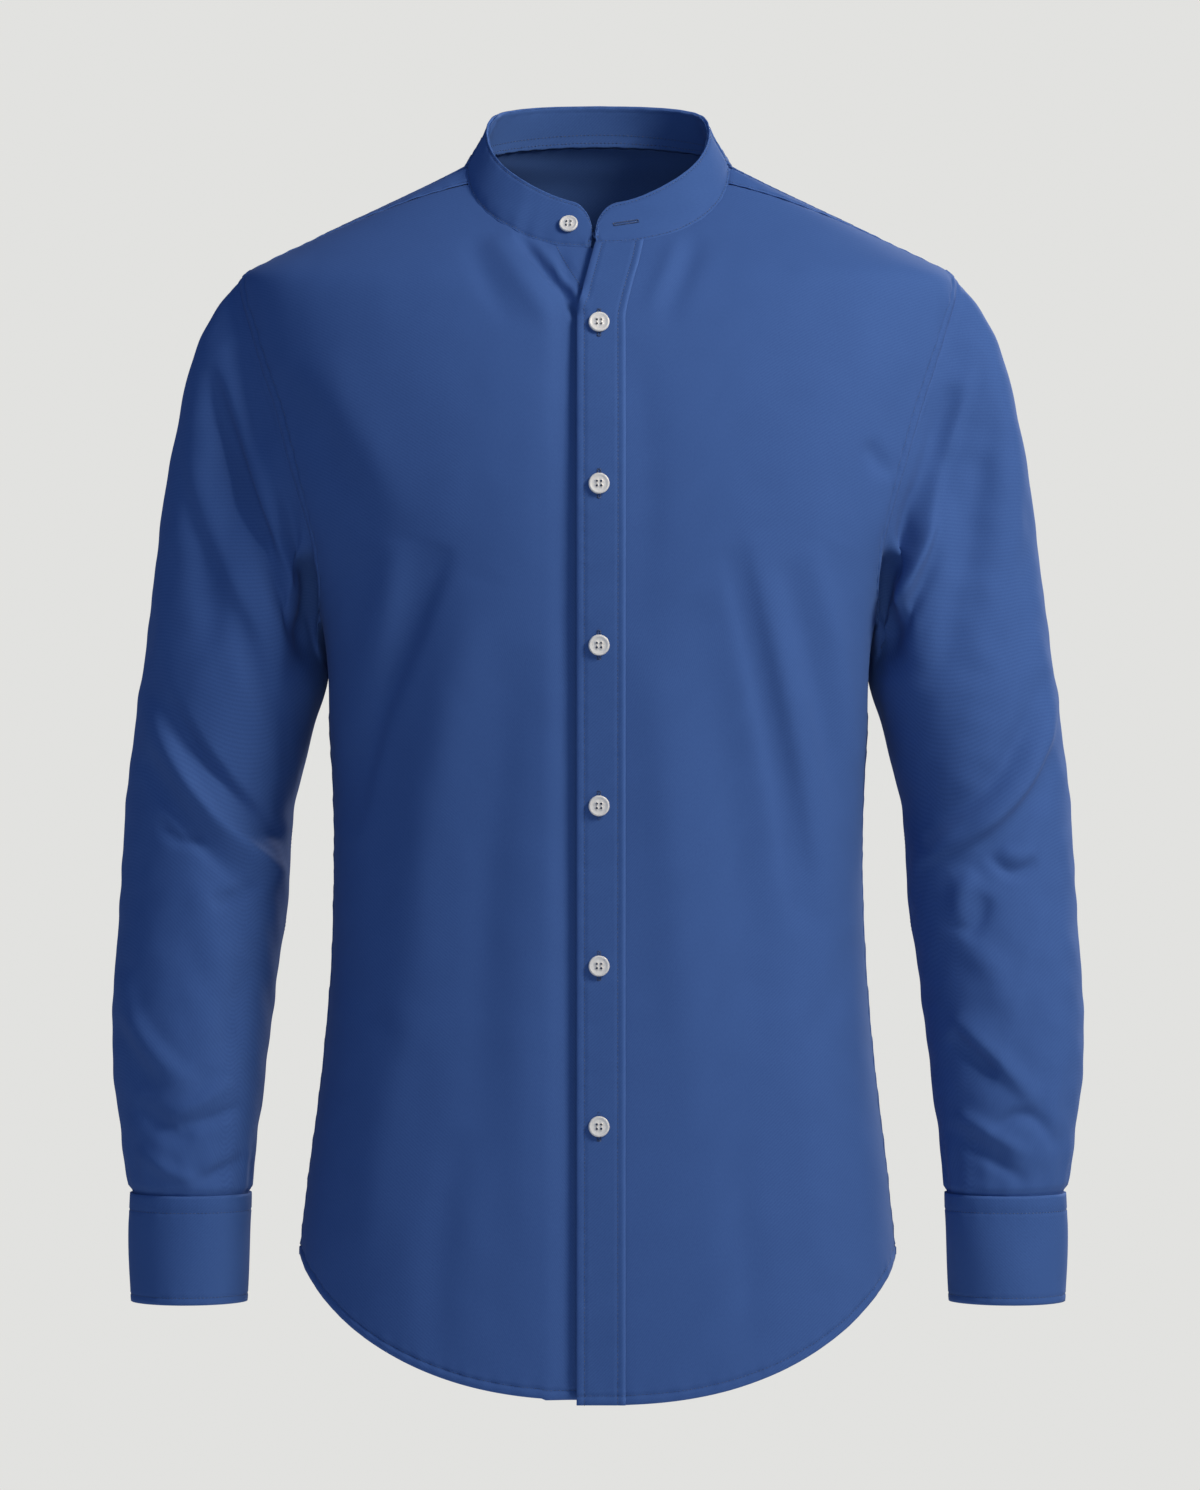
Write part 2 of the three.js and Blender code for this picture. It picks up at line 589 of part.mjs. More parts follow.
/** A sleeve on the wearer's left as rings of points with normals, from the armhole to the cuff. */
function sleeveGrid() {
  const cap = steps(0, 1, capRows).map((share) => sleeveTurns.map((turn) => capPoint(turn, share)));
  const levels = steps(sleeveSections[0].z, cuffTopZ + seamGap, sleeveRows).slice(1);
  const lower = levels.map((z) => sleeveTurns.map((turn) => sleeveRing(turn, z)));
  const rings = [...cap, ...lower];
  const count = sleeveTurns.length;
  const ownNormal = (r, c) => {
    const centre = rings[r].reduce((sum, p) => sum.add(p), vec(0, 0, 0)).divideScalar(count);
    const above = rings[Math.max(0, r - 1)][c];
    const below = rings[Math.min(rings.length - 1, r + 1)][c];
    const around = rings[r][(c + 1) % count].clone().sub(rings[r][(c + count - 1) % count]);
    const normal = below.clone().sub(above).cross(around).normalize();
    return normal.dot(rings[r][c].clone().sub(centre)) < 0 ? normal.negate() : normal;
  };
  return rings.map((ring, r) =>
    ring.map((place, c) => {
      const normal = ownNormal(r, c);
      if (r < 2) {
        const seam = armhole(sleeveTurns[c]);
        const bodyNormal = onBody(seam.x, seam.y, seam.z).normal;
        const share = smooth(bodyNormal.dot(normal) / 0.5) * (r === 0 ? 1 : 0.5);
        normal.lerp(bodyNormal, share).normalize();
      }
      const inBody = smooth((r - 1) / 3) * smooth((rings.length - 1 - r) / 2);
      const turn = sleeveTurns[c] < -45 ? sleeveTurns[c] + 360 : sleeveTurns[c];
      const height = inBody * relief(sleeveFolds, turn, place.z, ["turn0", "turn1"]);
      return { place: place.clone().addScaledVector(normal, height), normal };
    }),
  );
}

/** A cuff: a band that goes once round and laps over itself behind the wrist. */
function cuffGrid() {
  const turns = steps(cuffLap.start - 360, cuffLap.end, 30);
  return steps(0, cuffHeight, 3).map((fall) => {
    const down = fall / cuffHeight;
    const outer = mix(cuffOuter.top, cuffOuter.bottom, down);
    const inner = mix(cuffInner.top, cuffInner.bottom, down);
    const centreY = mix(cuffCentreY.top, cuffCentreY.bottom, down);
    const z = mix(cuffTopZ - seamGap, cuffTopZ - cuffHeight, down);
    return turns.map((turn) => {
      const over = smooth((turn - cuffLap.rise) / 16) * (bandWall + 0.6);
      const radial = vec(Math.cos(turn * degree), -Math.sin(turn * degree), 0);
      const reach = radial.clone().multiply(vec((outer - inner) / 2 + over, cuffHalfDepth + over, 0));
      return { place: vec((outer + inner) / 2, centreY, z).add(reach), normal: radial };
    });
  });
}

/** A strip that lies on a grid's points, moved out. */
function strip(grid, lift) {
  return wall(offset(grid, lift + stripWall), offset(grid, lift));
}

/** The button placket: it lies on the left front's first columns. */
const placket = () => strip(frontGrid(true).map((row) => row.slice(0, leftStrip.length)), seamGap);

/** The button stand: it lies behind the right front's first columns. */
const buttonStand = () => {
  const columns = frontGrid(false).map((row) => row.slice(0, rightStrip.length - 2));
  return strip(columns, -clothWall - seamGap - stripWall);
};

/** The placket over the slit at the back of a sleeve: it lies on the sleeve's own points. */
function sleevePlacket(grid) {
  const first = sleeveTurns.findIndex((turn) => turn > slitTurn);
  const rows = grid.slice(-slitRows);
  return strip(rows.map((row) => row.slice(first, first + slitColumns)), seamGap);
}

// Joining and cutting of solids
const wasm = await Module();
wasm.setup();
function asSolid(geometry) {
  const closed = mergeVertices(new THREE.BufferGeometry()
    .setAttribute("position", geometry.getAttribute("position"))
    .setIndex(geometry.index), 1e-3);
  return new wasm.Manifold(new wasm.Mesh({
    numProp: 3,
    vertProperties: closed.attributes.position.array,
    triVerts: new Uint32Array(closed.index.array),
  }));
}
function asGeometry(solid) {
  const mesh = solid.getMesh();
  const geometry = new THREE.BufferGeometry();
  geometry.setAttribute("position", new THREE.BufferAttribute(mesh.vertProperties, 3));
  geometry.setIndex(new THREE.BufferAttribute(mesh.triVerts, 1));
  geometry.computeVertexNormals();
  return geometry;
}

/** A shirt button: a dished disc with a rolled rim and four sewing holes, lying on the plane z = 0. */
function buttonGeometry(diameter) {
  const radius = diameter / 2;
  const profile = [
    { r: 0, h: 0 },
    { r: radius * 0.84, h: 0 },
    { r: radius, h: 1 },
    { r: radius * 0.9, h: 2.3 },
    { r: radius * 0.66, h: 1.8 },
    { r: 0, h: 1.7 },
  ].map(({ r, h }) => new THREE.Vector2(r, h));
  let disc = asSolid(new THREE.LatheGeometry(profile, 16).rotateX(Math.PI / 2));
  for (const [x, y] of [[1, 1], [1, -1], [-1, 1], [-1, -1]]) {
    const drill = new THREE.CylinderGeometry(sewingHole / 2, sewingHole / 2, 8, 6).rotateX(Math.PI / 2);
    disc = disc.subtract(asSolid(drill.translate(x * sewingSpread, y * sewingSpread, 0)));
  }
  return asGeometry(disc);
}

/** Seats a button on a surface, its holes square with the upright. */
function button(diameter, place, normal) {
  const mesh = new THREE.Mesh(buttonGeometry(diameter));
  const across = vec(0, 0, 1).cross(normal).normalize();
  const up = normal.clone().cross(across);
  mesh.applyMatrix4(new THREE.Matrix4().makeBasis(across, up, normal));
  mesh.position.copy(place);
  return mesh;
}

// Finishes
const blueCloth = new THREE.MeshStandardMaterial({ color: 0x3a5a92, roughness: 0.85, metalness: 0 });
const bandCloth = new THREE.MeshStandardMaterial({ color: 0x37568c, roughness: 0.85, metalness: 0 });
const whiteResin = new THREE.MeshStandardMaterial({ color: 0xe9e8e4, roughness: 0.35, metalness: 0 });

const shirt = new THREE.Group();
const add = (name, mesh, material) => {
  mesh.name = name;
  mesh.material = material.clone();
  shirt.add(mesh);
  return mesh;
};
const addCloth = (name, geometry, material = blueCloth) => add(name, new THREE.Mesh(geometry), material);
const mirrorGeometry = (geometry) => {
  const copy = geometry.clone().scale(-1, 1, 1);
  const index = Array.from(copy.index.array);
  for (let i = 0; i < index.length; i += 3) {
    [index[i + 1], index[i + 2]] = [index[i + 2], index[i + 1]];
  }
  copy.setIndex(index);
  copy.computeVertexNormals();
  return copy;
};

addCloth("front_left", panelWall(frontGrid(true)));
addCloth("front_right", panelWall(frontGrid(false)));
addCloth("back", panelWall(whole(backHalfGrid())));
addCloth("yoke", panelWall(whole(yokeHalfGrid())));
const band = bandGrid();
addCloth("collar_band", wall(offset(band, bandWall / 2), offset(band, -bandWall / 2)), bandCloth);
addCloth("placket", placket(), bandCloth);
addCloth("button_stand", buttonStand(), bandCloth);

const sleeve = sleeveGrid();
const sleeveWall = wall(offset(sleeve, 0), offset(sleeve, -clothWall), true);
const cuff = cuffGrid();
const cuffWall = wall(offset(cuff, 0), offset(cuff, -bandWall));
addCloth("sleeve_left", sleeveWall);
addCloth("sleeve_right", mirrorGeometry(sleeveWall));
addCloth("cuff_left", cuffWall, bandCloth);
addCloth("cuff_right", mirrorGeometry(cuffWall), bandCloth);
const slitPlacket = sleevePlacket(sleeve);
addCloth("sleeve_placket_left", slitPlacket, bandCloth);
addCloth("sleeve_placket_right", mirrorGeometry(slitPlacket), bandCloth);

const placketSeat = 2 * seamGap + stripWall;
for (let i = 0; i < frontButtons; i++) {
  const seat = fromView(buttonX, buttonTopZ - i * buttonPitch, -1);
  const { place, normal } = onBody(seat.x, seat.y, seat.z);
  place.addScaledVector(normal, placketSeat);
  add("button_front_" + (i + 1), button(buttonDiameter, place, normal), whiteResin);
}

/** Seats a button halfway between two points of a surface, clear of it. */
function buttonBetween(name, diameter, low, high, lift, flip = 1) {
  const mirror = vec(flip, 1, 1);
  const place = low.place.clone().lerp(high.place, 0.5).addScaledVector(low.normal, lift);
  const normal = low.normal.clone().add(high.normal).normalize();
  add(name, button(diameter, place.multiply(mirror), normal.multiply(mirror)), whiteResin);
}
const bandSeat = bandWall / 2 + seamGap;
const [, bandLow, bandHigh] = band.map((row) => row[collarButtonColumn]);
buttonBetween("button_collar", collarButtonDiameter, bandLow, bandHigh, bandSeat);
const cuffColumn = cuff[0].length - 2;
for (const [name, flip] of [["button_cuff_left", 1], ["button_cuff_right", -1]]) {
  buttonBetween(name, cuffButtonDiameter, cuff[1][cuffColumn], cuff[2][cuffColumn], seamGap, flip);
}

export default shirt;
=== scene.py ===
"""A long-sleeved blue shirt with a mandarin collar, filled out as if it were worn.

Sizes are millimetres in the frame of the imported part, and meshes are written in metres.
+Z is up, the front faces -Y and +X is the wearer's left.
"""

import logging
import math
from dataclasses import dataclass, field
from enum import Enum
from typing import Sequence

import bpy
import numpy as np
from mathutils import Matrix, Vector
from mathutils.geometry import delaunay_2d_cdt


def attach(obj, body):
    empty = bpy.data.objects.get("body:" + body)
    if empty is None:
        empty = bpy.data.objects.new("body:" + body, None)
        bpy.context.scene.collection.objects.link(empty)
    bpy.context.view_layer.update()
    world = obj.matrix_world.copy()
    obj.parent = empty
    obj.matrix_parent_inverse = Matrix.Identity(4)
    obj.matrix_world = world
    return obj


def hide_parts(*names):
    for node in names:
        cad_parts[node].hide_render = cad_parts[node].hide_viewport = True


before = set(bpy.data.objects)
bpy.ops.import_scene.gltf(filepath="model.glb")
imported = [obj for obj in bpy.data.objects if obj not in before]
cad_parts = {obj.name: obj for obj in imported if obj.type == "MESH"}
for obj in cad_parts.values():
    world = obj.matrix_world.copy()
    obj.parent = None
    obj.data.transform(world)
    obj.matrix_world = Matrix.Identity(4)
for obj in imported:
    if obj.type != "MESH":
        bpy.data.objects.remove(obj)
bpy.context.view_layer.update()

LOG = logging.getLogger("shirt")
MM = 0.001
ROUNDNESS = 2.4


@dataclass(frozen=True)
class BodyLevel:
    """A level section of the body: height, half width, reach to the front and to the back."""

    z: float
    half_width: float
    front: float
    back: float


@dataclass(frozen=True)
class SleeveLevel:
    """A level section of a sleeve: height, outer and inner edge, middle in y and half depth."""

    z: float
    outer: float
    inner: float
    centre_y: float
    half_depth: float


@dataclass(frozen=True)
class BandLevel:
    """Height of the collar's top edge by the turn from the centre front to the centre back."""

    turn: float
    z: float


BODY_LEVELS = (
    BodyLevel(16, 62, 2, 55),
    BodyLevel(8, 72, 3, 63),
    BodyLevel(0, 80.5, 4, 69),
    BodyLevel(-11, 101.5, 16.5, 77),
    BodyLevel(-23, 126.8, 31, 82.5),
    BodyLevel(-42, 167.5, 54, 89),
    BodyLevel(-56, 196, 72, 93),
    BodyLevel(-69, 221, 86, 96),
    BodyLevel(-80, 226, 94, 98),
    BodyLevel(-100, 225, 103, 101),
    BodyLevel(-140, 219.5, 115, 104),
    BodyLevel(-180, 211, 122.5, 104.5),
    BodyLevel(-220, 199, 125.5, 103),
    BodyLevel(-260, 183, 125, 100),
    BodyLevel(-300, 174, 123, 97),
    BodyLevel(-340, 170.6, 120, 93.5),
    BodyLevel(-390, 167, 116, 90),
    BodyLevel(-440, 166, 113, 88.5),
    BodyLevel(-490, 167.4, 112, 91),
    BodyLevel(-540, 171, 113, 97),
    BodyLevel(-590, 176, 115, 103),
    BodyLevel(-640, 182.5, 118, 109),
    BodyLevel(-690, 187.7, 120, 113),
    BodyLevel(-765, 191, 122, 116),
)
SLEEVE_LEVELS = (
    SleeveLevel(-330, 288.8, 172.0, 12, 61),
    SleeveLevel(-350, 291.2, 178.2, 12.6, 60),
    SleeveLevel(-372, 294.8, 183.8, 13.2, 59),
    SleeveLevel(-387, 297.3, 187.6, 13.5, 58),
    SleeveLevel(-405, 299.2, 192.2, 13, 57),
    SleeveLevel(-430, 300, 193.4, 12, 56),
    SleeveLevel(-463, 302, 196.6, 9, 55),
    SleeveLevel(-500, 304.8, 201, 5, 54),
    SleeveLevel(-540, 306.4, 205.8, 1, 52),
    SleeveLevel(-565, 305.8, 209.5, -2, 50),
    SleeveLevel(-590, 303.6, 212.4, -5, 47.5),
    SleeveLevel(-615, 300.4, 215.8, -7.5, 44),
    SleeveLevel(-634, 296.8, 217.6, -9.5, 40.5),
    SleeveLevel(-646, 294.6, 218, -11, 38.3),
)
BAND_LEVELS = (
    BandLevel(-10, -29),
    BandLevel(0, -28.5),
    BandLevel(15, -25),
    BandLevel(26, -20.2),
    BandLevel(39, -13.2),
    BandLevel(57, -2.5),
    BandLevel(73, 8.4),
    BandLevel(90, 20.5),
    BandLevel(107, 30.5),
    BandLevel(130, 36),
    BandLevel(155, 39),
    BandLevel(180, 40),
)


def smooth(t: np.ndarray | float) -> np.ndarray:
    """Eases a share from 0 to 1."""
    t = np.clip(t, 0.0, 1.0)
    return t * t * (3 - 2 * t)


def mix(a: np.ndarray | float, b: np.ndarray | float, t: np.ndarray | float) -> np.ndarray:
    """Value between a and b at share t."""
    return a + (b - a) * t


def signed_power(value: np.ndarray, exponent: float) -> np.ndarray:
    """Power of the size of a value, with the value's sign."""
    return np.sign(value) * np.abs(value) ** exponent


def stack(x: np.ndarray, y: np.ndarray, z: np.ndarray) -> np.ndarray:
    """Points from their three coordinates, spread to one shape."""
    return np.stack(np.broadcast_arrays(x, y, z), axis=-1).astype(float)


def unit(vectors: np.ndarray) -> np.ndarray:
    """Vectors of length 1 in the same directions."""
    return vectors / np.maximum(np.linalg.norm(vectors, axis=-1, keepdims=True), 1e-9)


def read_between(rows: Sequence[object], key: str, name: str, at: np.ndarray | float) -> np.ndarray:
    """Reads one column of a table between its rows, along a smooth cubic.

    Args:
        rows: The table, in order of its key.
        key: The column that the place is given in.
        name: The column to read.
        at: The places.

    Returns:
        The values at those places.
    """
    keys = np.array([getattr(row, key) for row in rows], float)
    values = np.array([getattr(row, name) for row in rows], float)
    if keys[0] > keys[-1]:
        keys, values = keys[::-1], values[::-1]
    last = len(keys) - 1
    low = np.maximum(np.arange(last + 1) - 1, 0)
    high = np.minimum(np.arange(last + 1) + 1, last)
    slopes = (values[high] - values[low]) / (keys[high] - keys[low])
    at = np.asarray(at, float)
    i = np.clip(np.searchsorted(keys, at, side="right") - 1, 0, last - 1)
    span = keys[i + 1] - keys[i]
    t = np.clip((at - keys[i]) / span, 0, 1)
    start = values[i] * (1 + 2 * t) * (1 - t) ** 2 + slopes[i] * span * t * (1 - t) ** 2
    return start + values[i + 1] * t * t * (3 - 2 * t) + slopes[i + 1] * span * t * t * (t - 1)


def smooth_line(points: Sequence[Sequence[float]], parts: int) -> np.ndarray:
    """A smooth line through a few points, each stretch cut into parts."""
    p = np.array(points, float)
    if len(p) == 2:
        return p[0] + np.linspace(0, 1, parts + 1)[:, None] * (p[1] - p[0])
    p = np.vstack([2 * p[0] - p[1], p, 2 * p[-1] - p[-2]])
    line = []
    for a, b, c, d in zip(p[:-3], p[1:-2], p[2:-1], p[3:]):
        t = np.linspace(0, 1, parts, endpoint=False)[:, None]
        square = t**2 * (a - 2.5 * b + 2 * c - d / 2)
        cube = t**3 * (1.5 * (b - c) + (d - a) / 2)
        line.append(b + t * (c - a) / 2 + square + cube)
    return np.vstack([*line, p[-2:-1]])


@dataclass(frozen=True)
class Fold:
    """A soft ridge, or a trough where the height is below 0, along a path over the cloth.

    The path's points are (across, up). A lean above 0 makes the side on the left of the path
    wider and the right side steeper.
    """

    path: tuple[tuple[float, float], ...]
    width: float
    height: float
    lean: float = 0.0

    def relief(self, across: np.ndarray, up: np.ndarray) -> np.ndarray:
        """Height of this fold at each place."""
        line = smooth_line(self.path, 5)
        parts = len(line) - 1
        nearest = np.full(across.shape, np.inf)
        along = np.zeros(across.shape)
        side = np.zeros(across.shape)
        for k in range(parts):
            run = line[k + 1] - line[k]
            off_x, off_z = across - line[k][0], up - line[k][1]
            length2 = run @ run
            t = np.clip((off_x * run[0] + off_z * run[1]) / length2, 0, 1)
            away = (off_x - t * run[0]) ** 2 + (off_z - t * run[1]) ** 2
            closer = away < nearest
            nearest = np.where(closer, away, nearest)
            along = np.where(closer, (k + t) / parts, along)
            side = np.where(closer, off_z * run[0] - off_x * run[1], side)
        width = self.width * (1 + self.lean * np.tanh(side / (self.width * 8)))
        taper = np.clip(4 * along * (1 - along), 0, 1) ** 0.8
        return self.height * taper * np.exp(-nearest / width**2)


def reaching_under(points: np.ndarray, distance: float = 1.5) -> np.ndarray:
    """A grid with one more row above its first, for the part that a neighbour covers."""
    return np.concatenate([points[:1] + unit(points[:1] - points[1:2]) * distance, points])


def relief_of(folds: Sequence[Fold], across: np.ndarray, up: np.ndarray) -> np.ndarray:
    """Summed height of several folds."""
    total = np.zeros(np.broadcast(across, up).shape)
    for fold in folds:
        total += fold.relief(across, up)
    return total


def unevenness(points: np.ndarray, size: float, waves: int, seed: int) -> np.ndarray:
    """Soft random height over a cloth, as a sum of waves in random directions.

    Args:
        points: Places on the cloth.
        size: Usual length of a wave.
        waves: How many waves are summed.
        seed: Start of the random numbers.

    Returns:
        Heights, mostly between -1 and 1.
    """
    random = np.random.default_rng(seed)
    total = np.zeros(points.shape[:-1])
    for _ in range(waves):
        direction = unit(random.normal(size=3))
        length = size * random.uniform(0.7, 1.6)
        total += np.sin(points @ direction * (2 * math.pi / length) + random.uniform(0, 2 * math.pi))
    return total / math.sqrt(waves)


# Folds of the body in the front view, in millimetres, with the wearer's right at negative x
FRONT_FOLDS = (
    Fold(((-94, -240), (-118, -297), (-139, -350), (-156, -420)), 11, -5.5, -0.35),
    Fold(((-124, -236), (-134, -290), (-152, -372)), 11, 3.6),
    Fold(((-70, -262), (-92, -340), (-110, -430), (-118, -560)), 17, 3.8),
    Fold(((-50, -300), (-66, -430), (-80, -640)), 15, -2.2),
    Fold(((-203, -132), (-172, -178), (-136, -238)), 15, -3.6),
    Fold(((-176, -120), (-150, -170), (-118, -226)), 17, 2.2),
    Fold(((-44, -44), (-28, -65), (-14, -84), (-8, -96)), 3.4, 3.2),
    Fold(((-52, -44), (-34, -67), (-19, -86), (-10, -101)), 3.0, -3.6, 0.4),
    Fold(((-25, -50), (-20, -68), (-17, -86)), 2.6, -2.4),
    Fold(((-66, -48), (-48, -74), (-28, -104)), 8, 2.6),
    Fold(((-80, -46), (-70, -74), (-52, -104)), 8, -1.8),
    Fold(((50, -48), (42, -70), (30, -96)), 6, 1.6),
    Fold(((62, -44), (54, -70), (40, -104)), 7, -1.6),
    Fold(((-198, -196), (-188, -226), (-180, -250)), 7, -3.0),
    Fold(((198, -196), (188, -226), (180, -250)), 7, -2.6),
    Fold(((94, -232), (113, -314), (128, -386), (143, -470)), 10, 4.6, 0.3),
    Fold(((80, -240), (98, -320), (114, -400), (124, -480)), 9, -3.6, 0.3),
    Fold(((130, -238), (147, -302), (162, -384)), 8.5, 3.6),
    Fold(((114, -250), (134, -330), (152, -410)), 8, -3),
    Fold(((60, -270), (84, -400), (98, -560)), 16, -3),
    Fold(((30, -300), (46, -430), (60, -640)), 16, 2.2),
    Fold(((168, -176), (182, -198)), 6, -3),
    Fold(((196, -128), (170, -186), (148, -238)), 14, -2.4),
    Fold(((22, -110), (30, -200), (26, -300)), 12, -1.4),
    Fold(((-24, -110), (-30, -220), (-27, -330)), 11, -1.6),
    Fold(((-36, -420), (-44, -560), (-40, -700)), 14, 1.4),
    Fold(((118, -520), (132, -610), (138, -700)), 15, 2.4),
    Fold(((-120, -520), (-136, -610), (-144, -690)), 15, 2.2),
    Fold(((84, -600), (92, -680), (96, -750)), 12, -1.8),
    Fold(((-88, -600), (-98, -680), (-100, -750)), 12, -1.8),
    Fold(((-160, -470), (-148, -520), (-120, -552)), 10, -1.6),
    Fold(((160, -480), (146, -524), (116, -560)), 10, -1.6),
)
BACK_FOLDS = (
    Fold(((-98, -150), (-92, -330), (-84, -540)), 16, 6.4, 0.2),
    Fold(((94, -160), (86, -340), (78, -570)), 16, 6.0, -0.2),
    Fold(((-62, -210), (-52, -400), (-44, -610)), 13, -5.8),
    Fold(((56, -220), (48, -420), (42, -610)), 14, -5.4),
    Fold(((-138, -250), (-128, -360), (-118, -500)), 12, -5.4),
    Fold(((138, -240), (124, -360), (112, -480)), 12, -5.0),
    Fold(((0, -300), (6, -460), (3, -650)), 17, 4.4),
    Fold(((24, -118), (30, -180), (22, -280)), 10, 2.6),
    Fold(((-26, -118), (-22, -170), (-30, -250)), 9, 2.8),
    Fold(((-176, -236), (-150, -300), (-104, -346)), 9, 4.6, 0.3),
    Fold(((174, -232), (146, -296), (100, -338)), 9, 4.4, -0.3),
    Fold(((-168, -268), (-140, -322), (-98, -368)), 8, -3.6),
    Fold(((166, -262), (136, -316), (96, -360)), 8, -3.4),
    Fold(((-156, -430), (-110, -466), (-50, -474)), 10, -3.6),
    Fold(((156, -420), (106, -456), (50, -470)), 10, -3.4),
    Fold(((-152, -470), (-100, -500), (-46, -508)), 8, 3.2),
    Fold(((152, -462), (100, -494), (44, -504)), 8, 3.0),
    Fold(((-120, -590), (-132, -660), (-134, -730)), 14, 3.4),
    Fold(((124, -590), (134, -660), (138, -730)), 14, 3.4),
    Fold(((52, -600), (58, -680), (56, -750)), 14, -2.6),
    Fold(((-56, -610), (-60, -690), (-60, -750)), 14, -2.6),
)
# Folds round a sleeve as (turn, up): 0 is the outside, 90 the front, 180 the inside, 270 the back
SLEEVE_WRAPS = (
    Fold(((200, -430), (265, -420), (330, -400)), 11, -4.6),
    Fold(((190, -395), (255, -386), (320, -372)), 12, 4.4),
    Fold(((196, -460), (250, -450), (300, -436)), 9, 2.6),
    Fold(((210, -340), (260, -330), (300, -300)), 12, -3),
    Fold(((200, -560), (255, -580), (310, -600)), 10, -3.6),
    Fold(((195, -585), (250, -606), (290, -622)), 8, 3),
    Fold(((280, -500), (292, -560), (300, -646)), 9, 2.4),
    Fold(((320, -560), (326, -600), (328, -650)), 7, -2.6),
    Fold(((338, -570), (342, -610), (342, -650)), 6, 2.2),
    Fold(((230, -130), (220, -200), (205, -270)), 14, 3.6),
    Fold(((252, -140), (240, -210), (222, -290)), 12, -3.6),
    Fold(((20, -345), (66, -378), (110, -412), (160, -452)), 9, 1.6),
)
# Folds on the front of each sleeve in the front view, as (distance out from the centre, up)
RIGHT_SLEEVE_FOLDS = (
    Fold(((238, -112), (226, -150), (212, -195), (198, -232)), 9, 5.2, 0.3),
    Fold(((244, -128), (229, -170), (211, -228), (195, -264), (174, -306)), 6.5, -8.5, 0.45),
    Fold(((258, -172), (246, -216), (228, -256), (206, -300)), 10, 3.8, -0.3),
    Fold(((199, -200), (188, -240), (180, -264), (176, -292)), 7.5, -9),
    Fold(((207, -232), (200, -251), (192, -269), (184, -288), (177, -306)), 4.8, 3.8, 0.3),
    Fold(((209, -244), (203, -262), (195, -279), (187, -296), (180, -316)), 5.6, -4.0),
    Fold(((270, -150), (258, -200), (246, -258), (240, -310)), 11, -3.0),
    Fold(((284, -200), (276, -270), (268, -340)), 9, 2.4),
    Fold(((226, -280), (212, -320), (200, -352)), 8, -3),
    Fold(((283, -336), (266, -372), (241, -408), (217, -431), (194, -450)), 7, 5.6, 0.5),
    Fold(((272, -332), (256, -362), (232, -392), (206, -418), (190, -428)), 7, -6.2, 0.3),
    Fold(((286, -372), (264, -404), (240, -434), (210, -458)), 7, -3.6, -0.3),
    Fold(((276, -414), (262, -423), (246, -424)), 4, -3.2),
    Fold(((242, -464), (228, -460), (212, -452)), 4.5, -3.4),
    Fold(((256, -440), (244, -470), (232, -520)), 12, 2.4),
    Fold(((300, -506), (290, -540), (268, -566), (250, -580)), 8.5, 3.8, 0.35),
    Fold(((303, -536), (290, -562), (274, -584)), 7.5, -3.2),
    Fold(((270, -596), (250, -588), (228, -574)), 5, 3.4),
    Fold(((262, -604), (240, -598), (222, -590)), 4, -3),
    Fold(((290, -588), (274, -602), (252, -612)), 7, -3.4),
    Fold(((254, -640), (238, -633), (220, -622)), 4.5, -3.4),
    Fold(((288, -618), (266, -632), (244, -640)), 4.5, 2.6),
    Fold(((218, -500), (230, -536), (236, -566)), 8, -3),
)
LEFT_SLEEVE_FOLDS = (
    Fold(((234, -120), (226, -152), (212, -198), (203, -238), (190, -272), (177, -304)), 7, 5.4, -0.45),
    Fold(((222, -140), (213, -170), (203, -204), (192, -236), (184, -262)), 8, -8.0),
    Fold(((199, -200), (188, -240), (180, -264), (176, -292)), 7.5, -9),
    Fold(((211, -222), (203, -240), (195, -257), (184, -284), (176, -306)), 4.8, 4.0, -0.3),
    Fold(((213, -240), (205, -258), (196, -276), (188, -292), (180, -314)), 5.6, -4.0),
    Fold(((216, -180), (206, -214), (194, -246)), 8, -4.5),
    Fold(((252, -150), (243, -190), (232, -240), (222, -290), (218, -330)), 12, -3.6, 0.3),
    Fold(((264, -140), (254, -190), (242, -257), (236, -318)), 13, 2.8),
    Fold(((282, -180), (272, -240), (262, -320)), 10, -2.4),
    Fold(((290, -240), (284, -300), (276, -350)), 9, 1.6),
    Fold(((288, -322), (281, -356), (268, -387), (246, -412), (221, -428), (196, -441)), 6, 6.6, -0.5),
    Fold(((280, -318), (268, -354), (250, -384), (226, -404), (202, -420)), 8, -5.6, -0.2),
    Fold(((290, -372), (270, -404), (246, -430), (222, -446)), 7, -3),
    Fold(((243, -433), (254, -442), (264, -444), (276, -438)), 3.8, -4),
    Fold(((252, -430), (264, -434), (274, -430)), 3.6, 2),
    Fold(((236, -444), (228, -458), (226, -478)), 7, 4),
    Fold(((243, -458), (238, -472), (230, -486)), 6, -3.4),
    Fold(((226, -480), (246, -506), (262, -540)), 10, 2.2),
    Fold(((220, -546), (236, -560), (250, -572)), 5.5, -4.4),
    Fold(((222, -534), (238, -550), (258, -570), (276, -590)), 6, 4.2, 0.3),
    Fold(((244, -606), (262, -596), (276, -600), (287, -618)), 4.5, -3.8),
    Fold(((218, -604), (236, -616), (254, -628), (268, -640)), 5, -3.8),
    Fold(((224, -594), (244, -606), (270, -622)), 4.5, 3),
    Fold(((290, -560), (284, -596), (276, -630)), 6, 2.2),
)


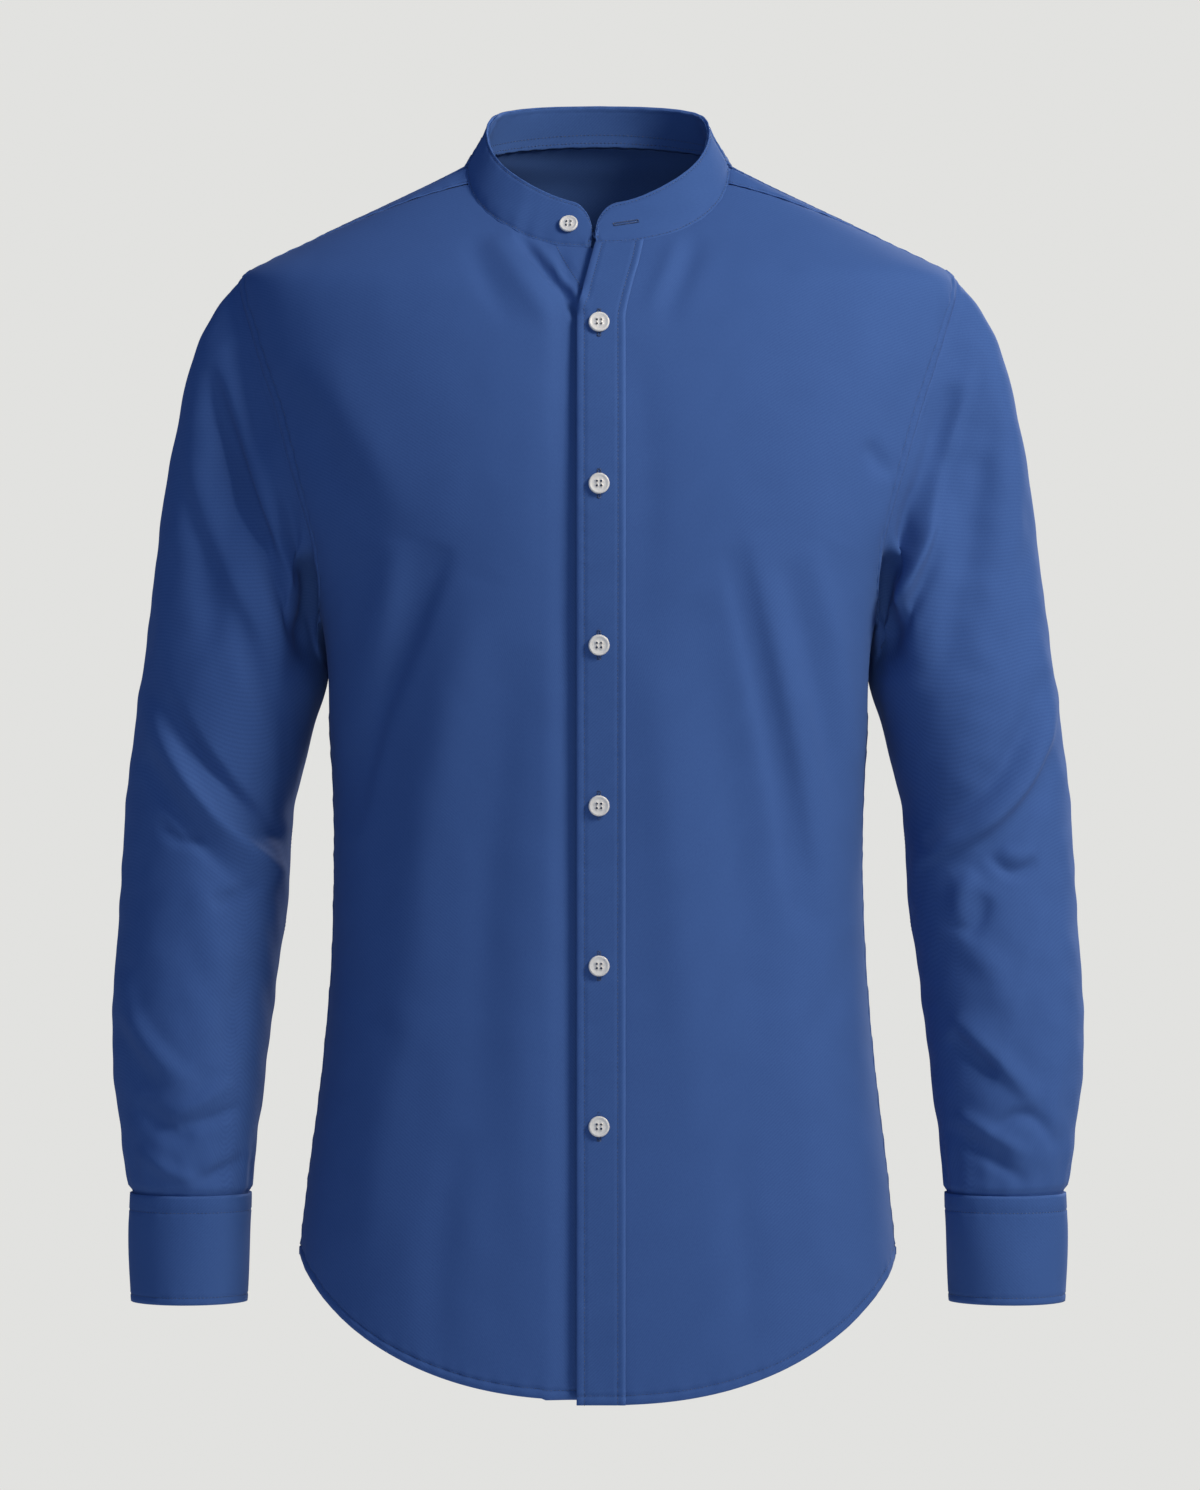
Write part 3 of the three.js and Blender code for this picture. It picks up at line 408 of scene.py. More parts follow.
class Body:
    """The filled-out form that the panels of the body lie on."""

    dent_depth: float = 9.0
    dent_y: float = 12.0
    dent_reach: float = 23.0
    fade_depth: float = 40.0

    @staticmethod
    def section(z: np.ndarray | float) -> tuple[np.ndarray, np.ndarray, np.ndarray]:
        """Half width, front reach and back reach at a height."""
        return tuple(read_between(BODY_LEVELS, "z", name, z) for name in ("half_width", "front", "back"))

    @classmethod
    def dent(cls, x: np.ndarray, y: np.ndarray, z: np.ndarray) -> np.ndarray:
        """How far the hanging arm presses the side in."""
        size = cls.dent_depth * smooth((z + 358) / 40) * smooth((-225 - z) / 50)
        return np.sign(x) * size * np.exp(-(((y - cls.dent_y) / cls.dent_reach) ** 2))

    @classmethod
    def from_view(cls, x: np.ndarray, z: np.ndarray, side: int) -> np.ndarray:
        """Points of the form by their place in the front (-1) or back (1) view."""
        half_width, front, back = cls.section(z)
        share = np.maximum(0, 1 - np.minimum(1, np.abs(x / half_width)) ** ROUNDNESS)
        depth = (front if side < 0 else back) * share ** (1 / ROUNDNESS)
        return stack(x, side * np.maximum(depth, 1e-6), z)

    @classmethod
    def settle(cls, points: np.ndarray, lift: np.ndarray | float = 0.0) -> tuple[np.ndarray, np.ndarray]:
        """Moves points level with themselves onto the form and its folds.

        Args:
            points: Points near the form.
            lift: Further distance along the normal.

        Returns:
            The places and their outward normals.
        """
        x, y, z = np.moveaxis(points, -1, 0)
        half_width, front, back = cls.section(z)
        depth = np.where(y < 0, front, back)
        reach = (np.abs(x / half_width) ** ROUNDNESS + np.abs(y / depth) ** ROUNDNESS) ** (1 / ROUNDNESS)
        x, y = x / reach, y / reach
        above, below = cls.section(z + 0.5), cls.section(z - 0.5)
        fall = np.where(y < 0, below[1] - above[1], below[2] - above[2]) / depth
        share_x, share_y = np.abs(x / half_width) ** ROUNDNESS, np.abs(y / depth) ** ROUNDNESS
        normal = unit(
            stack(
                signed_power(x / half_width, ROUNDNESS - 1) / half_width,
                signed_power(y / depth, ROUNDNESS - 1) / depth,
                share_x * (below[0] - above[0]) / half_width + share_y * fall,
            )
        )
        facing = smooth(np.abs(y) / cls.fade_depth)
        folds = np.where(y < 0, relief_of(FRONT_FOLDS, x, z), relief_of(BACK_FOLDS, x, z))
        place = stack(x, y, z)
        drift = 0.4 * unevenness(place, 95, 9, 3) + 0.1 * unevenness(place, 30, 9, 5)
        calm = smooth((-20 - z) / 60)
        place += normal * (facing * folds + calm * drift + lift)[..., None]
        place[..., 0] -= cls.dent(x, y, z)
        return place, normal


class Pattern:
    """Seam lines that neighbouring pieces of the cut share."""

    neck_half_width: float = 82.0
    neck_side_z: float = -1.5
    neck_front_drop: float = 50.0
    neck_back_rise: float = 15.5
    neck_power: float = 0.89
    shoulder_tip_z: float = -69.0
    underarm_z: float = -288.0
    side_hem_z: float = -684.0
    drop_left: float = 86.0
    drop_right: float = 83.0
    drop_back: float = 87.0
    shoulder_neck_turn: float = 79.5
    shoulder_arm_turn: float = 14.0
    yoke_corner_turn: float = 312.0
    placket_width: float = 30.4
    placket_edge_x: float = -13.3
    collar_spread_z: float = -98.0

    @classmethod
    def neck_seam(cls, turn: np.ndarray | float) -> np.ndarray:
        """The collar seam on the wearer's left, from the centre front (0) to the centre back (180)."""
        turn = np.asarray(turn, float)
        across = cls.neck_half_width * signed_power(np.sin(np.radians(turn)), cls.neck_power)
        fall = np.abs(np.cos(np.radians(turn)))
        front = cls.neck_side_z - cls.neck_front_drop * fall**cls.neck_power
        z = np.where(turn < 90, front, cls.neck_side_z + cls.neck_back_rise * fall)
        return np.where((turn < 90)[..., None], Body.from_view(across, z, -1), Body.from_view(across, z, 1))

    @classmethod
    def neck_turn_at(cls, x: np.ndarray | float) -> np.ndarray:
        """Turn of the collar seam's point at a distance from the centre front."""
        return np.degrees(np.arcsin(signed_power(np.asarray(x) / cls.neck_half_width, 1 / cls.neck_power)))

    @classmethod
    def armhole(cls, turn: np.ndarray | float) -> np.ndarray:
        """The armhole seam on the wearer's left: 0 is the top, 90 the front, 180 the underarm."""
        turn = np.asarray(turn, float)
        rise, swing = np.cos(np.radians(turn)), np.sin(np.radians(turn))
        z = mix(cls.underarm_z, cls.shoulder_tip_z, (1 + rise) / 2)
        reach = np.where(swing > 0, 25.5, 26.5) * np.abs(swing) * (0.97 - 0.17 * rise)
        half_width, front, back = Body.section(z)
        x = half_width * np.cos(np.radians(reach)) ** (2 / ROUNDNESS)
        depth = np.sin(np.radians(reach)) ** (2 / ROUNDNESS)
        return stack(x, np.where(swing > 0, -front * depth, back * depth), z)

    @classmethod
    def shoulder_seam(cls, share: np.ndarray | float) -> np.ndarray:
        """The seam between a front and the yoke, from the collar to the armhole."""
        share = np.asarray(share, float)[..., None]
        return mix(cls.neck_seam(cls.shoulder_neck_turn), cls.armhole(cls.shoulder_arm_turn), share)

    @classmethod
    def hem_z(cls, x: np.ndarray, drop: float) -> np.ndarray:
        """Height of the curved hem at a distance from the centre."""
        along = np.minimum(1, np.abs(x / Body.section(-700.0)[0])) ** ROUNDNESS
        return cls.side_hem_z - drop * (1 - along) ** 0.74

    @staticmethod
    def yoke_z(x: np.ndarray | float) -> np.ndarray:
        """Height of the seam between the yoke and the back."""
        return -92 - 14 * (np.asarray(x, float) / 205) ** 2

    @classmethod
    def front_edge(cls, z: np.ndarray | float, is_left: bool) -> np.ndarray:
        """The free edge of a front: left laps over right, and both spread at the open collar."""
        spread = np.clip((np.asarray(z, float) - cls.collar_spread_z) / 44, 0, 1)
        return cls.placket_edge_x + 11.5 * spread**1.2 if is_left else 17 - 21 * spread**1.5

    @classmethod
    def underlap(cls, x: np.ndarray, z: np.ndarray, is_left: bool) -> np.ndarray | float:
        """How far the right front sinks to pass under the left."""
        if is_left:
            return 0.0
        return -3.4 * smooth((50 - (cls.front_edge(z, False) - x)) / 17)


class Edge(Enum):
    """How an edge of a piece is sewn, as rows of (distance from the edge, height)."""

    PLAIN = ((0.0, 0.0),)
    TUCKED = ((0.0, -1.0), (1.5, -0.9), (2.3, -0.2), (3.2, 0.0))
    FELLED = (
        (0.0, -0.1), (0.6, 0.55), (2.6, 0.62), (5.4, 0.6),
        (8.0, 0.5), (9.0, -0.6), (10.1, 0.08), (12.4, 0.0),
    )
    LAPPED = ((0.0, -0.1), (0.4, 0.2), (1.2, 0.24), (2.1, -0.3), (3.0, 0.2), (4.8, 0.1), (7.0, 0.0))
    HEMMED = ((0.0, 0.05), (0.5, 0.4), (2.8, 0.5), (5.0, 0.45), (6.1, -0.6), (7.2, 0.08), (9.0, 0.0))
    TURNED = ((0.0, -0.1), (0.4, 0.08), (2.4, 0.14), (4.0, 0.1), (5.0, -0.4), (6.0, 0.06), (8.0, 0.0))
    PIPED = ((0.0, -0.35), (0.4, 0.02), (1.2, 0.14), (2.2, -0.42), (3.2, 0.1), (4.8, 0.0))
    BANDED = ((0.0, -0.35), (0.4, 0.02), (2.4, 0.1), (10.0, 0.1), (11.0, -0.4), (12.0, 0.06), (14.0, 0.0))
    ROLLED = ((0.0, -0.35), (0.3, -0.05), (0.8, 0.0))

    @property
    def marks(self) -> list[float]:
        """Distances from the edge that need a line of points."""
        return [row[0] for row in self.value]

    @property
    def stitch(self) -> float | None:
        """Distance of the line of stitches from the edge."""
        lowest = min(self.value[1:], key=lambda row: row[1], default=None)
        return None if self in (Edge.PLAIN, Edge.TUCKED, Edge.ROLLED) else lowest[0]

    def height(self, distance: np.ndarray) -> np.ndarray:
        """Height of the sewn edge at distances from it."""
        return np.interp(distance, self.marks, [row[1] for row in self.value])


@dataclass(frozen=True)
class StitchLine:
    """A line for stitches on a cloth: its places and the cloth's normals there."""

    places: np.ndarray
    normals: np.ndarray

    def below(self, depth: float) -> "StitchLine":
        """The same line on the other face of the cloth."""
        return StitchLine(self.places - self.normals * depth, -self.normals)

    def part(self, start: float, end: float) -> "StitchLine":
        """A stretch of the line, by shares of its points."""
        last = len(self.places) - 1
        kept = slice(round(start * last), round(end * last) + 1)
        return StitchLine(self.places[kept], self.normals[kept])


@dataclass
class Cloth:
    """A grid of points on the outer face of a piece of cloth, ready to be walled.

    Rows run down the piece and columns across it. Edges are in the order top, bottom, first
    column, last column. A tube's last column meets its first.
    """

    points: np.ndarray
    edges: tuple[Edge, Edge, Edge, Edge] = (Edge.PLAIN,) * 4
    pitch: float = 2.8
    is_tube: bool = False
    centre: np.ndarray | None = None
    pucker: float = 0.2
    lines: dict[str, StitchLine] = field(default_factory=dict)
    grain: np.ndarray | None = None

    def respaced(self, axis: int, first: Edge, last: Edge) -> np.ndarray:
        """Moves the grid's lines so that the sewn edges have theirs at set distances.

        Args:
            axis: 0 to respace the rows, 1 to respace the columns.
            first: Edge at the start of that axis.
            last: Edge at its end.

        Returns:
            The respaced grid.
        """
        lines = np.moveaxis(self.points, axis, 1)
        lengths = np.linalg.norm(np.diff(lines, axis=1), axis=-1)
        start, end = np.array(first.marks), np.array(last.marks)
        ends = start[-1] + end[-1]
        count = max(3, round((lengths.sum(axis=1).mean() - ends) / self.pitch))
        moved = []
        for line, steps in zip(lines, lengths):
            along = np.r_[0, np.cumsum(steps)]
            squeeze = min(1.0, 0.8 * along[-1] / max(ends, 0.1))
            middle = np.linspace(start[-1] * squeeze, along[-1] - end[-1] * squeeze, count + 1)[1:-1]
            stations = np.r_[start * squeeze, middle, (along[-1] - end * squeeze)[::-1]]
            moved.append(np.stack([np.interp(stations, along, line[:, k]) for k in range(3)], axis=-1))
        return np.moveaxis(np.array(moved), 1, axis)

    def normals(self) -> np.ndarray:
        """Outward normals of the grid."""
        p = self.points
        down = np.gradient(p, axis=0)
        across = np.roll(p, -1, axis=1) - np.roll(p, 1, axis=1) if self.is_tube else np.gradient(p, axis=1)
        normal = unit(np.cross(down, across))
        middle = p * np.array([1, 1, 0]) if self.centre is None else p - self.centre
        return normal * np.sign((normal * middle).sum())

    def distances(self, axis: int) -> np.ndarray:
        """Distance of each point from the first edge, measured along the cloth."""
        steps = np.linalg.norm(np.diff(self.points, axis=axis), axis=-1)
        start = np.zeros_like(np.take(steps, [0], axis=axis))
        return np.concatenate([start, np.cumsum(steps, axis=axis)], axis=axis)

    def finish(self) -> "Cloth":
        """Respaces the grid, raises its sewn edges and lays their lines for stitches."""
        top, bottom, first, last = self.edges
        self.points = self.respaced(0, top, bottom)
        if not self.is_tube:
            self.points = self.respaced(1, first, last)
        down, across = self.distances(0), self.distances(1)
        sides = {
            "top": (top, down, across, 0, 1),
            "bottom": (bottom, down[-1:] - down, across, 0, -1),
        }
        if not self.is_tube:
            sides["first"] = (first, across, down, 1, 1)
            sides["last"] = (last, across[:, -1:] - across, down, 1, -1)
        height = np.zeros(down.shape)
        for edge, away, along, _, _ in sides.values():
            ripple = np.sin(along / 1.9 + 1.7 * np.sin(along / 17)) + 0.7 * np.sin(along / 4.7)
            height += edge.height(away)
            if edge.stitch is not None:
                height += self.pucker * ripple * np.exp(-((away - edge.stitch) / 4.5) ** 2)
        self.points = self.points + self.normals() * height[..., None]
        for name, (edge, away, _, axis, step) in sides.items():
            if edge.stitch is not None:
                self.lines[name] = self.line_at(away, edge.stitch, axis, step)
        return self

    def line_at(self, away: np.ndarray, distance: float, axis: int, step: int) -> StitchLine:
        """Line of the cloth that lies at a distance from one edge.

        Args:
            away: Each point's distance from that edge.
            distance: The line's distance from the edge.
            axis: 0 for the top and bottom edges, 1 for the two sides.
            step: 1 where distances grow along the axis, -1 where they fall.

        Returns:
            The line.
        """
        grids = [np.moveaxis(grid, axis, 0)[::step] for grid in (self.points, self.normals(), away)]
        rows = range(grids[0].shape[1])
        found = [
            np.array([[np.interp(distance, grids[2][:, c], grid[:, c, k]) for k in range(3)] for c in rows])
            for grid in grids[:2]
        ]
        return StitchLine(found[0], unit(found[1]))

    def mirrored(self) -> "Cloth":
        """The same piece on the wearer's other side."""
        flip = np.array([-1, 1, 1])
        lines = {
            name: StitchLine(line.places * flip, line.normals * flip) for name, line in self.lines.items()
        }
        centre = None if self.centre is None else self.centre * flip
        return Cloth(
            self.points * flip, self.edges, self.pitch, self.is_tube, centre, self.pucker, lines, self.grain
        )


@dataclass(frozen=True)
class Dye:
    """A colour in linear light, dark in the hollows of the weave and light on its ribs."""

    hollow: tuple[float, float, float]
    rib: tuple[float, float, float]


class Shades:
    """Node trees, built a node at a time."""

    def __init__(self, name: str) -> None:
        """Starts a material with an empty tree."""
        self.material = bpy.data.materials.new(name)
        self.material.use_nodes = True
        self.tree = self.material.node_tree
        self.tree.nodes.clear()

    def node(self, kind: str, **inputs: object) -> bpy.types.Node:
        """Adds a node and sets or links its inputs, with _ in place of spaces."""
        made = self.tree.nodes.new("ShaderNode" + kind)
        for name, value in inputs.items():
            socket = made.inputs[name.replace("_", " ")]
            if isinstance(value, bpy.types.NodeSocket):
                self.tree.links.new(value, socket)
            else:
                socket.default_value = value
        return made

    def math(self, operation: str, *values: object) -> bpy.types.NodeSocket:
        """Adds a sum on numbers."""
        made = self.tree.nodes.new("ShaderNodeMath")
        made.operation = operation
        for socket, value in zip(made.inputs, values):
            if isinstance(value, bpy.types.NodeSocket):
                self.tree.links.new(value, socket)
            else:
                socket.default_value = value
        return made.outputs[0]

    def blend(self, share: bpy.types.NodeSocket, a: object, b: object) -> bpy.types.NodeSocket:
        """Mixes two colours."""
        made = self.tree.nodes.new("ShaderNodeMix")
        made.data_type = "RGBA"
        for socket, value in zip((made.inputs[0], made.inputs[6], made.inputs[7]), (share, a, b)):
            if isinstance(value, bpy.types.NodeSocket):
                self.tree.links.new(value, socket)
            else:
                socket.default_value = (*value, 1) if isinstance(value, tuple) else value
        return made.outputs[2]

    def close(self, surface: bpy.types.Node) -> bpy.types.Material:
        """Links the surface to the output."""
        out = self.tree.nodes.new("ShaderNodeOutputMaterial")
        self.tree.links.new(surface.outputs[0], out.inputs[0])
        return self.material


@dataclass(frozen=True)
class Twill:
    """Cotton twill: fine diagonal ribs over an uneven dye, paler where an edge is worn."""

    name: str
    dye: Dye
    rib_pitch: float = 1.5
    rib_height: float = 0.03
    rib_share: float = 0.28
    roughness: float = 0.84
    sheen: float = 0.05

    def material(self) -> bpy.types.Material:
        """Builds the finish."""
        shades = Shades(self.name)
        grain = shades.tree.nodes.new("ShaderNodeAttribute")
        grain.attribute_name = "grain"
        worn = shades.tree.nodes.new("ShaderNodeAttribute")
        worn.attribute_name = "worn"
        rib = shades.tree.nodes.new("ShaderNodeTexWave")
        rib.bands_direction = "DIAGONAL"
        shades.tree.links.new(grain.outputs["Vector"], rib.inputs["Vector"])
        rib.inputs["Scale"].default_value = 2 * math.pi / (10 * self.rib_pitch * math.sqrt(2))
        rib.inputs["Distortion"].default_value = 1.6
        rib.inputs["Detail"].default_value = 2
        rib.inputs["Detail Scale"].default_value = 1.4
        slub = shades.node("TexNoise", Vector=grain.outputs["Vector"], Scale=0.7, Detail=3.0)
        cloud = shades.node("TexNoise", Vector=grain.outputs["Vector"], Scale=0.035, Detail=2.0)
        ribbed = shades.math("MULTIPLY", rib.outputs["Fac"], self.rib_share)
        uneven = shades.math("MULTIPLY", slub.outputs[0], 1 - self.rib_share)
        weave = shades.math("ADD", ribbed, uneven)
        colour = shades.blend(weave, self.dye.hollow, self.dye.rib)
        darker = tuple(0.86 * c for c in self.dye.hollow)
        faded = shades.blend(shades.math("MULTIPLY", cloud.outputs[0], 0.3), colour, darker)
        pale = tuple(1.5 * c + 0.01 for c in self.dye.rib)
        edged = shades.blend(shades.math("MULTIPLY", worn.outputs["Fac"], 0.35), faded, pale)
        bump = shades.node("Bump", Height=weave, Strength=0.5, Distance=self.rib_height * MM)
        rough = shades.math("ADD", shades.math("MULTIPLY", slub.outputs[0], 0.08), self.roughness - 0.04)
        surface = shades.node("BsdfPrincipled", Base_Color=edged, Roughness=rough, Normal=bump.outputs[0])
        surface.inputs["Sheen Weight"].default_value = self.sheen
        surface.inputs["Sheen Roughness"].default_value = 0.45
        surface.inputs["Sheen Tint"].default_value = (0.62, 0.74, 1.0, 1)
        surface.inputs["Specular IOR Level"].default_value = 0.12
        return shades.close(surface)


@dataclass(frozen=True)
class Thread:
    """Spun sewing thread, with a twist along it."""

    name: str
    dye: Dye

    def material(self) -> bpy.types.Material:
        """Builds the finish."""
        shades = Shades(self.name)
        place = shades.tree.nodes.new("ShaderNodeTexCoord").outputs["Object"]
        fibre = shades.node("TexNoise", Vector=place, Scale=1800.0, Detail=2.0)
        colour = shades.blend(fibre.outputs[0], self.dye.hollow, self.dye.rib)
        bump = shades.node("Bump", Height=fibre.outputs[0], Strength=0.4, Distance=0.0001)
        surface = shades.node("BsdfPrincipled", Base_Color=colour, Normal=bump.outputs[0])
        surface.inputs["Roughness"].default_value = 0.62
        surface.inputs["Sheen Weight"].default_value = 0.2
        return shades.close(surface)


@dataclass(frozen=True)
class Resin:
    """Off-white button resin with faint cloudy streaks."""

    name: str
    dye: Dye

    def material(self) -> bpy.types.Material:
        """Builds the finish."""
        shades = Shades(self.name)
        place = shades.tree.nodes.new("ShaderNodeTexCoord").outputs["Object"]
        streak = shades.node("TexNoise", Vector=place, Scale=240.0, Detail=3.0, Distortion=1.2)
        colour = shades.blend(streak.outputs[0], self.dye.hollow, self.dye.rib)
        scuff = shades.node("TexNoise", Vector=place, Scale=2600.0, Detail=2.0)
        rough = shades.math("ADD", shades.math("MULTIPLY", scuff.outputs[0], 0.16), 0.24)
        bump = shades.node("Bump", Height=scuff.outputs[0], Strength=0.12, Distance=0.0001)
        surface = shades.node("BsdfPrincipled", Base_Color=colour, Roughness=rough, Normal=bump.outputs[0])
        surface.inputs["Subsurface Weight"].default_value = 0.08
        surface.inputs["Subsurface Radius"].default_value = (0.002, 0.0018, 0.0014)
        surface.inputs["Subsurface Scale"].default_value = 0.6
        return shades.close(surface)


@dataclass(frozen=True)
class PaleGround:
    """A plain pale studio floor, evenly lit to look at."""

    name: str
    glow: float = 0.28

    def material(self) -> bpy.types.Material:
        """Builds the finish."""
        shades = Shades(self.name)
        place = shades.tree.nodes.new("ShaderNodeTexCoord").outputs["Object"]
        cloud = shades.node("TexNoise", Vector=place, Scale=1.5, Detail=2.0)
        colour = shades.blend(cloud.outputs[0], (0.8, 0.77, 0.72), (0.83, 0.8, 0.75))
        seen = shades.tree.nodes.new("ShaderNodeLightPath").outputs["Is Camera Ray"]
        glow = shades.math("MULTIPLY", seen, self.glow)
        surface = shades.node(
            "BsdfPrincipled", Base_Color=colour, Emission_Color=colour, Emission_Strength=glow
        )
        surface.inputs["Roughness"].default_value = 0.9
        return shades.close(surface)


class Slot(Enum):
    """The record's material slots."""

    TWILL = "twill"
    STRIP = "twill_strip"
    RESIN = "button_resin"


@dataclass
class Maker:
    """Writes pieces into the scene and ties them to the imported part."""

    finishes: dict[Slot, bpy.types.Material]
    thread: bpy.types.Material
    pale_thread: bpy.types.Material
    made: list[bpy.types.Object] = field(default_factory=list)

    def piece(
        self, name: str, points: np.ndarray, faces: Sequence[Sequence[int]], slot: Slot,
        node: str | None = None, finish: bpy.types.Material | None = None,
    ) -> bpy.types.Object:
        """Makes one piece from points in millimetres.

        Args:
            name: The piece's name.
            points: Its points.
            faces: Its faces, as indices of points.
            slot: The record's slot of its finish.
            node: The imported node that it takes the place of.
            finish: Its own finish, where it isn't the slot's.

        Returns:
            The new object.
        """
        mesh = bpy.data.meshes.new(name)
        mesh.from_pydata((points * MM).tolist(), [], [list(face) for face in faces])
        mesh.polygons.foreach_set("use_smooth", np.ones(len(mesh.polygons), bool))
        mesh.materials.append(finish or self.finishes[slot])
        made = bpy.data.objects.new(name, mesh)
        bpy.context.scene.collection.objects.link(made)
        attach(made, "root")
        if node:
            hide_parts(node)
        self.made.append(made)
        return made

    def cloth(
        self, name: str, cloth: Cloth, thickness: float, slot: Slot, node: str, rounding: float = 0.5
    ) -> bpy.types.Object:
        """Walls a cloth between its outer face and an inner one, its edges rounded.

        Args:
            name: The piece's name.
            cloth: The finished cloth.
            thickness: Thickness of the wall.
            slot: The record's slot of its finish.
            node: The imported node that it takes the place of.
            rounding: Distance over which the free edges thin out.

        Returns:
            The new object.
        """
        rows, columns = cloth.points.shape[:2]
        normal = cloth.normals()
        down, across = cloth.distances(0), cloth.distances(1)
        edge = np.minimum(down, down[-1:] - down)
        if not cloth.is_tube:
            edge = np.minimum(edge, np.minimum(across, across[:, -1:] - across))
        share = np.clip(edge / rounding, 0, 1)
        half = thickness / 2 * np.sqrt(np.clip(1 - 0.92 * (1 - share) ** 2, 0, 1))
        middle = cloth.points - normal * thickness / 2
        outer, inner = middle + normal * half[..., None], middle - normal * half[..., None]
        points = np.concatenate([outer.reshape(-1, 3), inner.reshape(-1, 3)])
        index = np.arange(rows * columns).reshape(rows, columns)
        if cloth.is_tube:
            index = np.concatenate([index, index[:, :1]], axis=1)
        under = index + rows * columns

        def quads(a: np.ndarray, b: np.ndarray, c: np.ndarray, d: np.ndarray) -> np.ndarray:
            """Faces from four grids of corners."""
            return np.stack([a, b, c, d], axis=-1).reshape(-1, 4)

        sheets = [
            quads(index[:-1, :-1], index[1:, :-1], index[1:, 1:], index[:-1, 1:]),
            quads(under[:-1, :-1], under[:-1, 1:], under[1:, 1:], under[1:, :-1]),
            quads(index[0, :-1], index[0, 1:], under[0, 1:], under[0, :-1]),
            quads(index[-1, 1:], index[-1, :-1], under[-1, :-1], under[-1, 1:]),
        ]
        if not cloth.is_tube:
            sheets.append(quads(index[1:, 0], index[:-1, 0], under[:-1, 0], under[1:, 0]))
            sheets.append(quads(index[:-1, -1], index[1:, -1], under[1:, -1], under[:-1, -1]))
        faces = np.concatenate(sheets)
        first = cloth.points[1, 0] - cloth.points[0, 0]
        turned = np.cross(first, cloth.points[0, 1] - cloth.points[0, 0]) @ normal[0, 0] < 0
        made = self.piece(name, points, faces[:, ::-1] if turned else faces, slot, node)
        flat = np.stack([across, down], axis=-1) if cloth.grain is None else cloth.grain
        centre = flat[:, columns // 2 : columns // 2 + 1, 0]
        grain = stack(flat[..., 0] - centre, flat[..., 1], 0 * down).reshape(-1, 3)
        lay = made.data.attributes.new("grain", "FLOAT_VECTOR", "POINT")
        lay.data.foreach_set("vector", np.concatenate([grain, grain]).ravel())
        worn = np.exp(-((edge / 0.8) ** 2)).ravel()
        rub = made.data.attributes.new("worn", "FLOAT", "POINT")
        rub.data.foreach_set("value", np.concatenate([worn, worn]))
        return made


@dataclass(frozen=True)
class Sewing:
    """Lock stitches and buttonholes worked in thread."""

    pitch: float = 2.5
    length: float = 1.75
    width: float = 0.62
    height: float = 0.34
    faces: tuple[tuple[int, int, int], ...] = (
        (0, 2, 4), (2, 1, 4), (1, 3, 4), (3, 0, 4), (2, 0, 5), (1, 2, 5), (3, 1, 5), (0, 3, 5),
    )

    def threads(
        self, places: np.ndarray, along: np.ndarray, normals: np.ndarray, length: float, width: float
    ) -> np.ndarray:
        """Spindles of thread, six points each.

        Args:
            places: Their middles.
            along: Their directions.
            normals: Normals of the cloth below them.
            length: Length of each.
            width: Width of each.

        Returns:
            The points, in order of the spindles.
        """
        side = np.cross(normals, along)
        reach = [along * length / 2, side * width / 2, normals * self.height / 2]
        ends = [places + sign * arm for arm in reach for sign in (1, -1)]
        return np.stack(ends, axis=1).reshape(-1, 3)

    def run(self, line: StitchLine) -> np.ndarray:
        """Points of a run of stitches along a line."""
        steps = np.linalg.norm(np.diff(line.places, axis=0), axis=1)
        along = np.r_[0, np.cumsum(steps)]
        at = np.arange(self.pitch / 2, along[-1], self.pitch)

        def pick(values: np.ndarray, where: np.ndarray) -> np.ndarray:
            """Values of the line at distances along it."""
            return np.stack([np.interp(where, along, values[:, k]) for k in range(3)], axis=-1)

        ahead = pick(line.places, at + 0.8) - pick(line.places, at - 0.8)
        normals = unit(pick(line.normals, at))
        ahead = unit(ahead - normals * (ahead * normals).sum(axis=1, keepdims=True))
        return self.threads(pick(line.places, at) + normals * 0.1, ahead, normals, self.length, self.width)

    def hole(self, middle: np.ndarray, along: np.ndarray, normal: np.ndarray, length: float) -> np.ndarray:
        """Points of a buttonhole worked in close stitches on both sides of its slit.

        Args:
            middle: Its middle on the cloth.
            along: Direction of the slit.
            normal: The cloth's normal.
            length: Length of the slit.

        Returns:
            The points of its stitches.
        """
        side = np.cross(normal, along)
        at = np.arange(-length / 2, length / 2 + 0.1, 0.5)
        rows = [middle + along * at[:, None] + side * sign * 0.85 + normal * 0.1 for sign in (1, -1)]
        bars = [
            middle + along * sign * (length / 2 + 0.4 + k) + normal * 0.15
            for sign in (1, -1)
            for k in (0, 0.4)
        ]
        places = np.concatenate([*rows, np.array(bars)])
        across = np.broadcast_to(side, places.shape)
        out = np.broadcast_to(normal, places.shape)
        short = self.threads(places[: 2 * len(at)], across[: 2 * len(at)], out[: 2 * len(at)], 1.4, 0.52)
        return np.concatenate([short, self.threads(places[2 * len(at) :], across[-4:], out[-4:], 3.2, 0.5)])

    def sew(
        self, maker: Maker, name: str, groups: Sequence[np.ndarray], is_pale: bool = False
    ) -> bpy.types.Object:
        """Makes one piece of all the threads on a cloth or a button."""
        points = np.concatenate(groups)
        base = np.arange(0, len(points), 6)[:, None, None]
        faces = (base + np.array(self.faces)).reshape(-1, 3)
        finish = maker.pale_thread if is_pale else maker.thread
        return maker.piece(name, points, faces, Slot.STRIP, finish=finish)


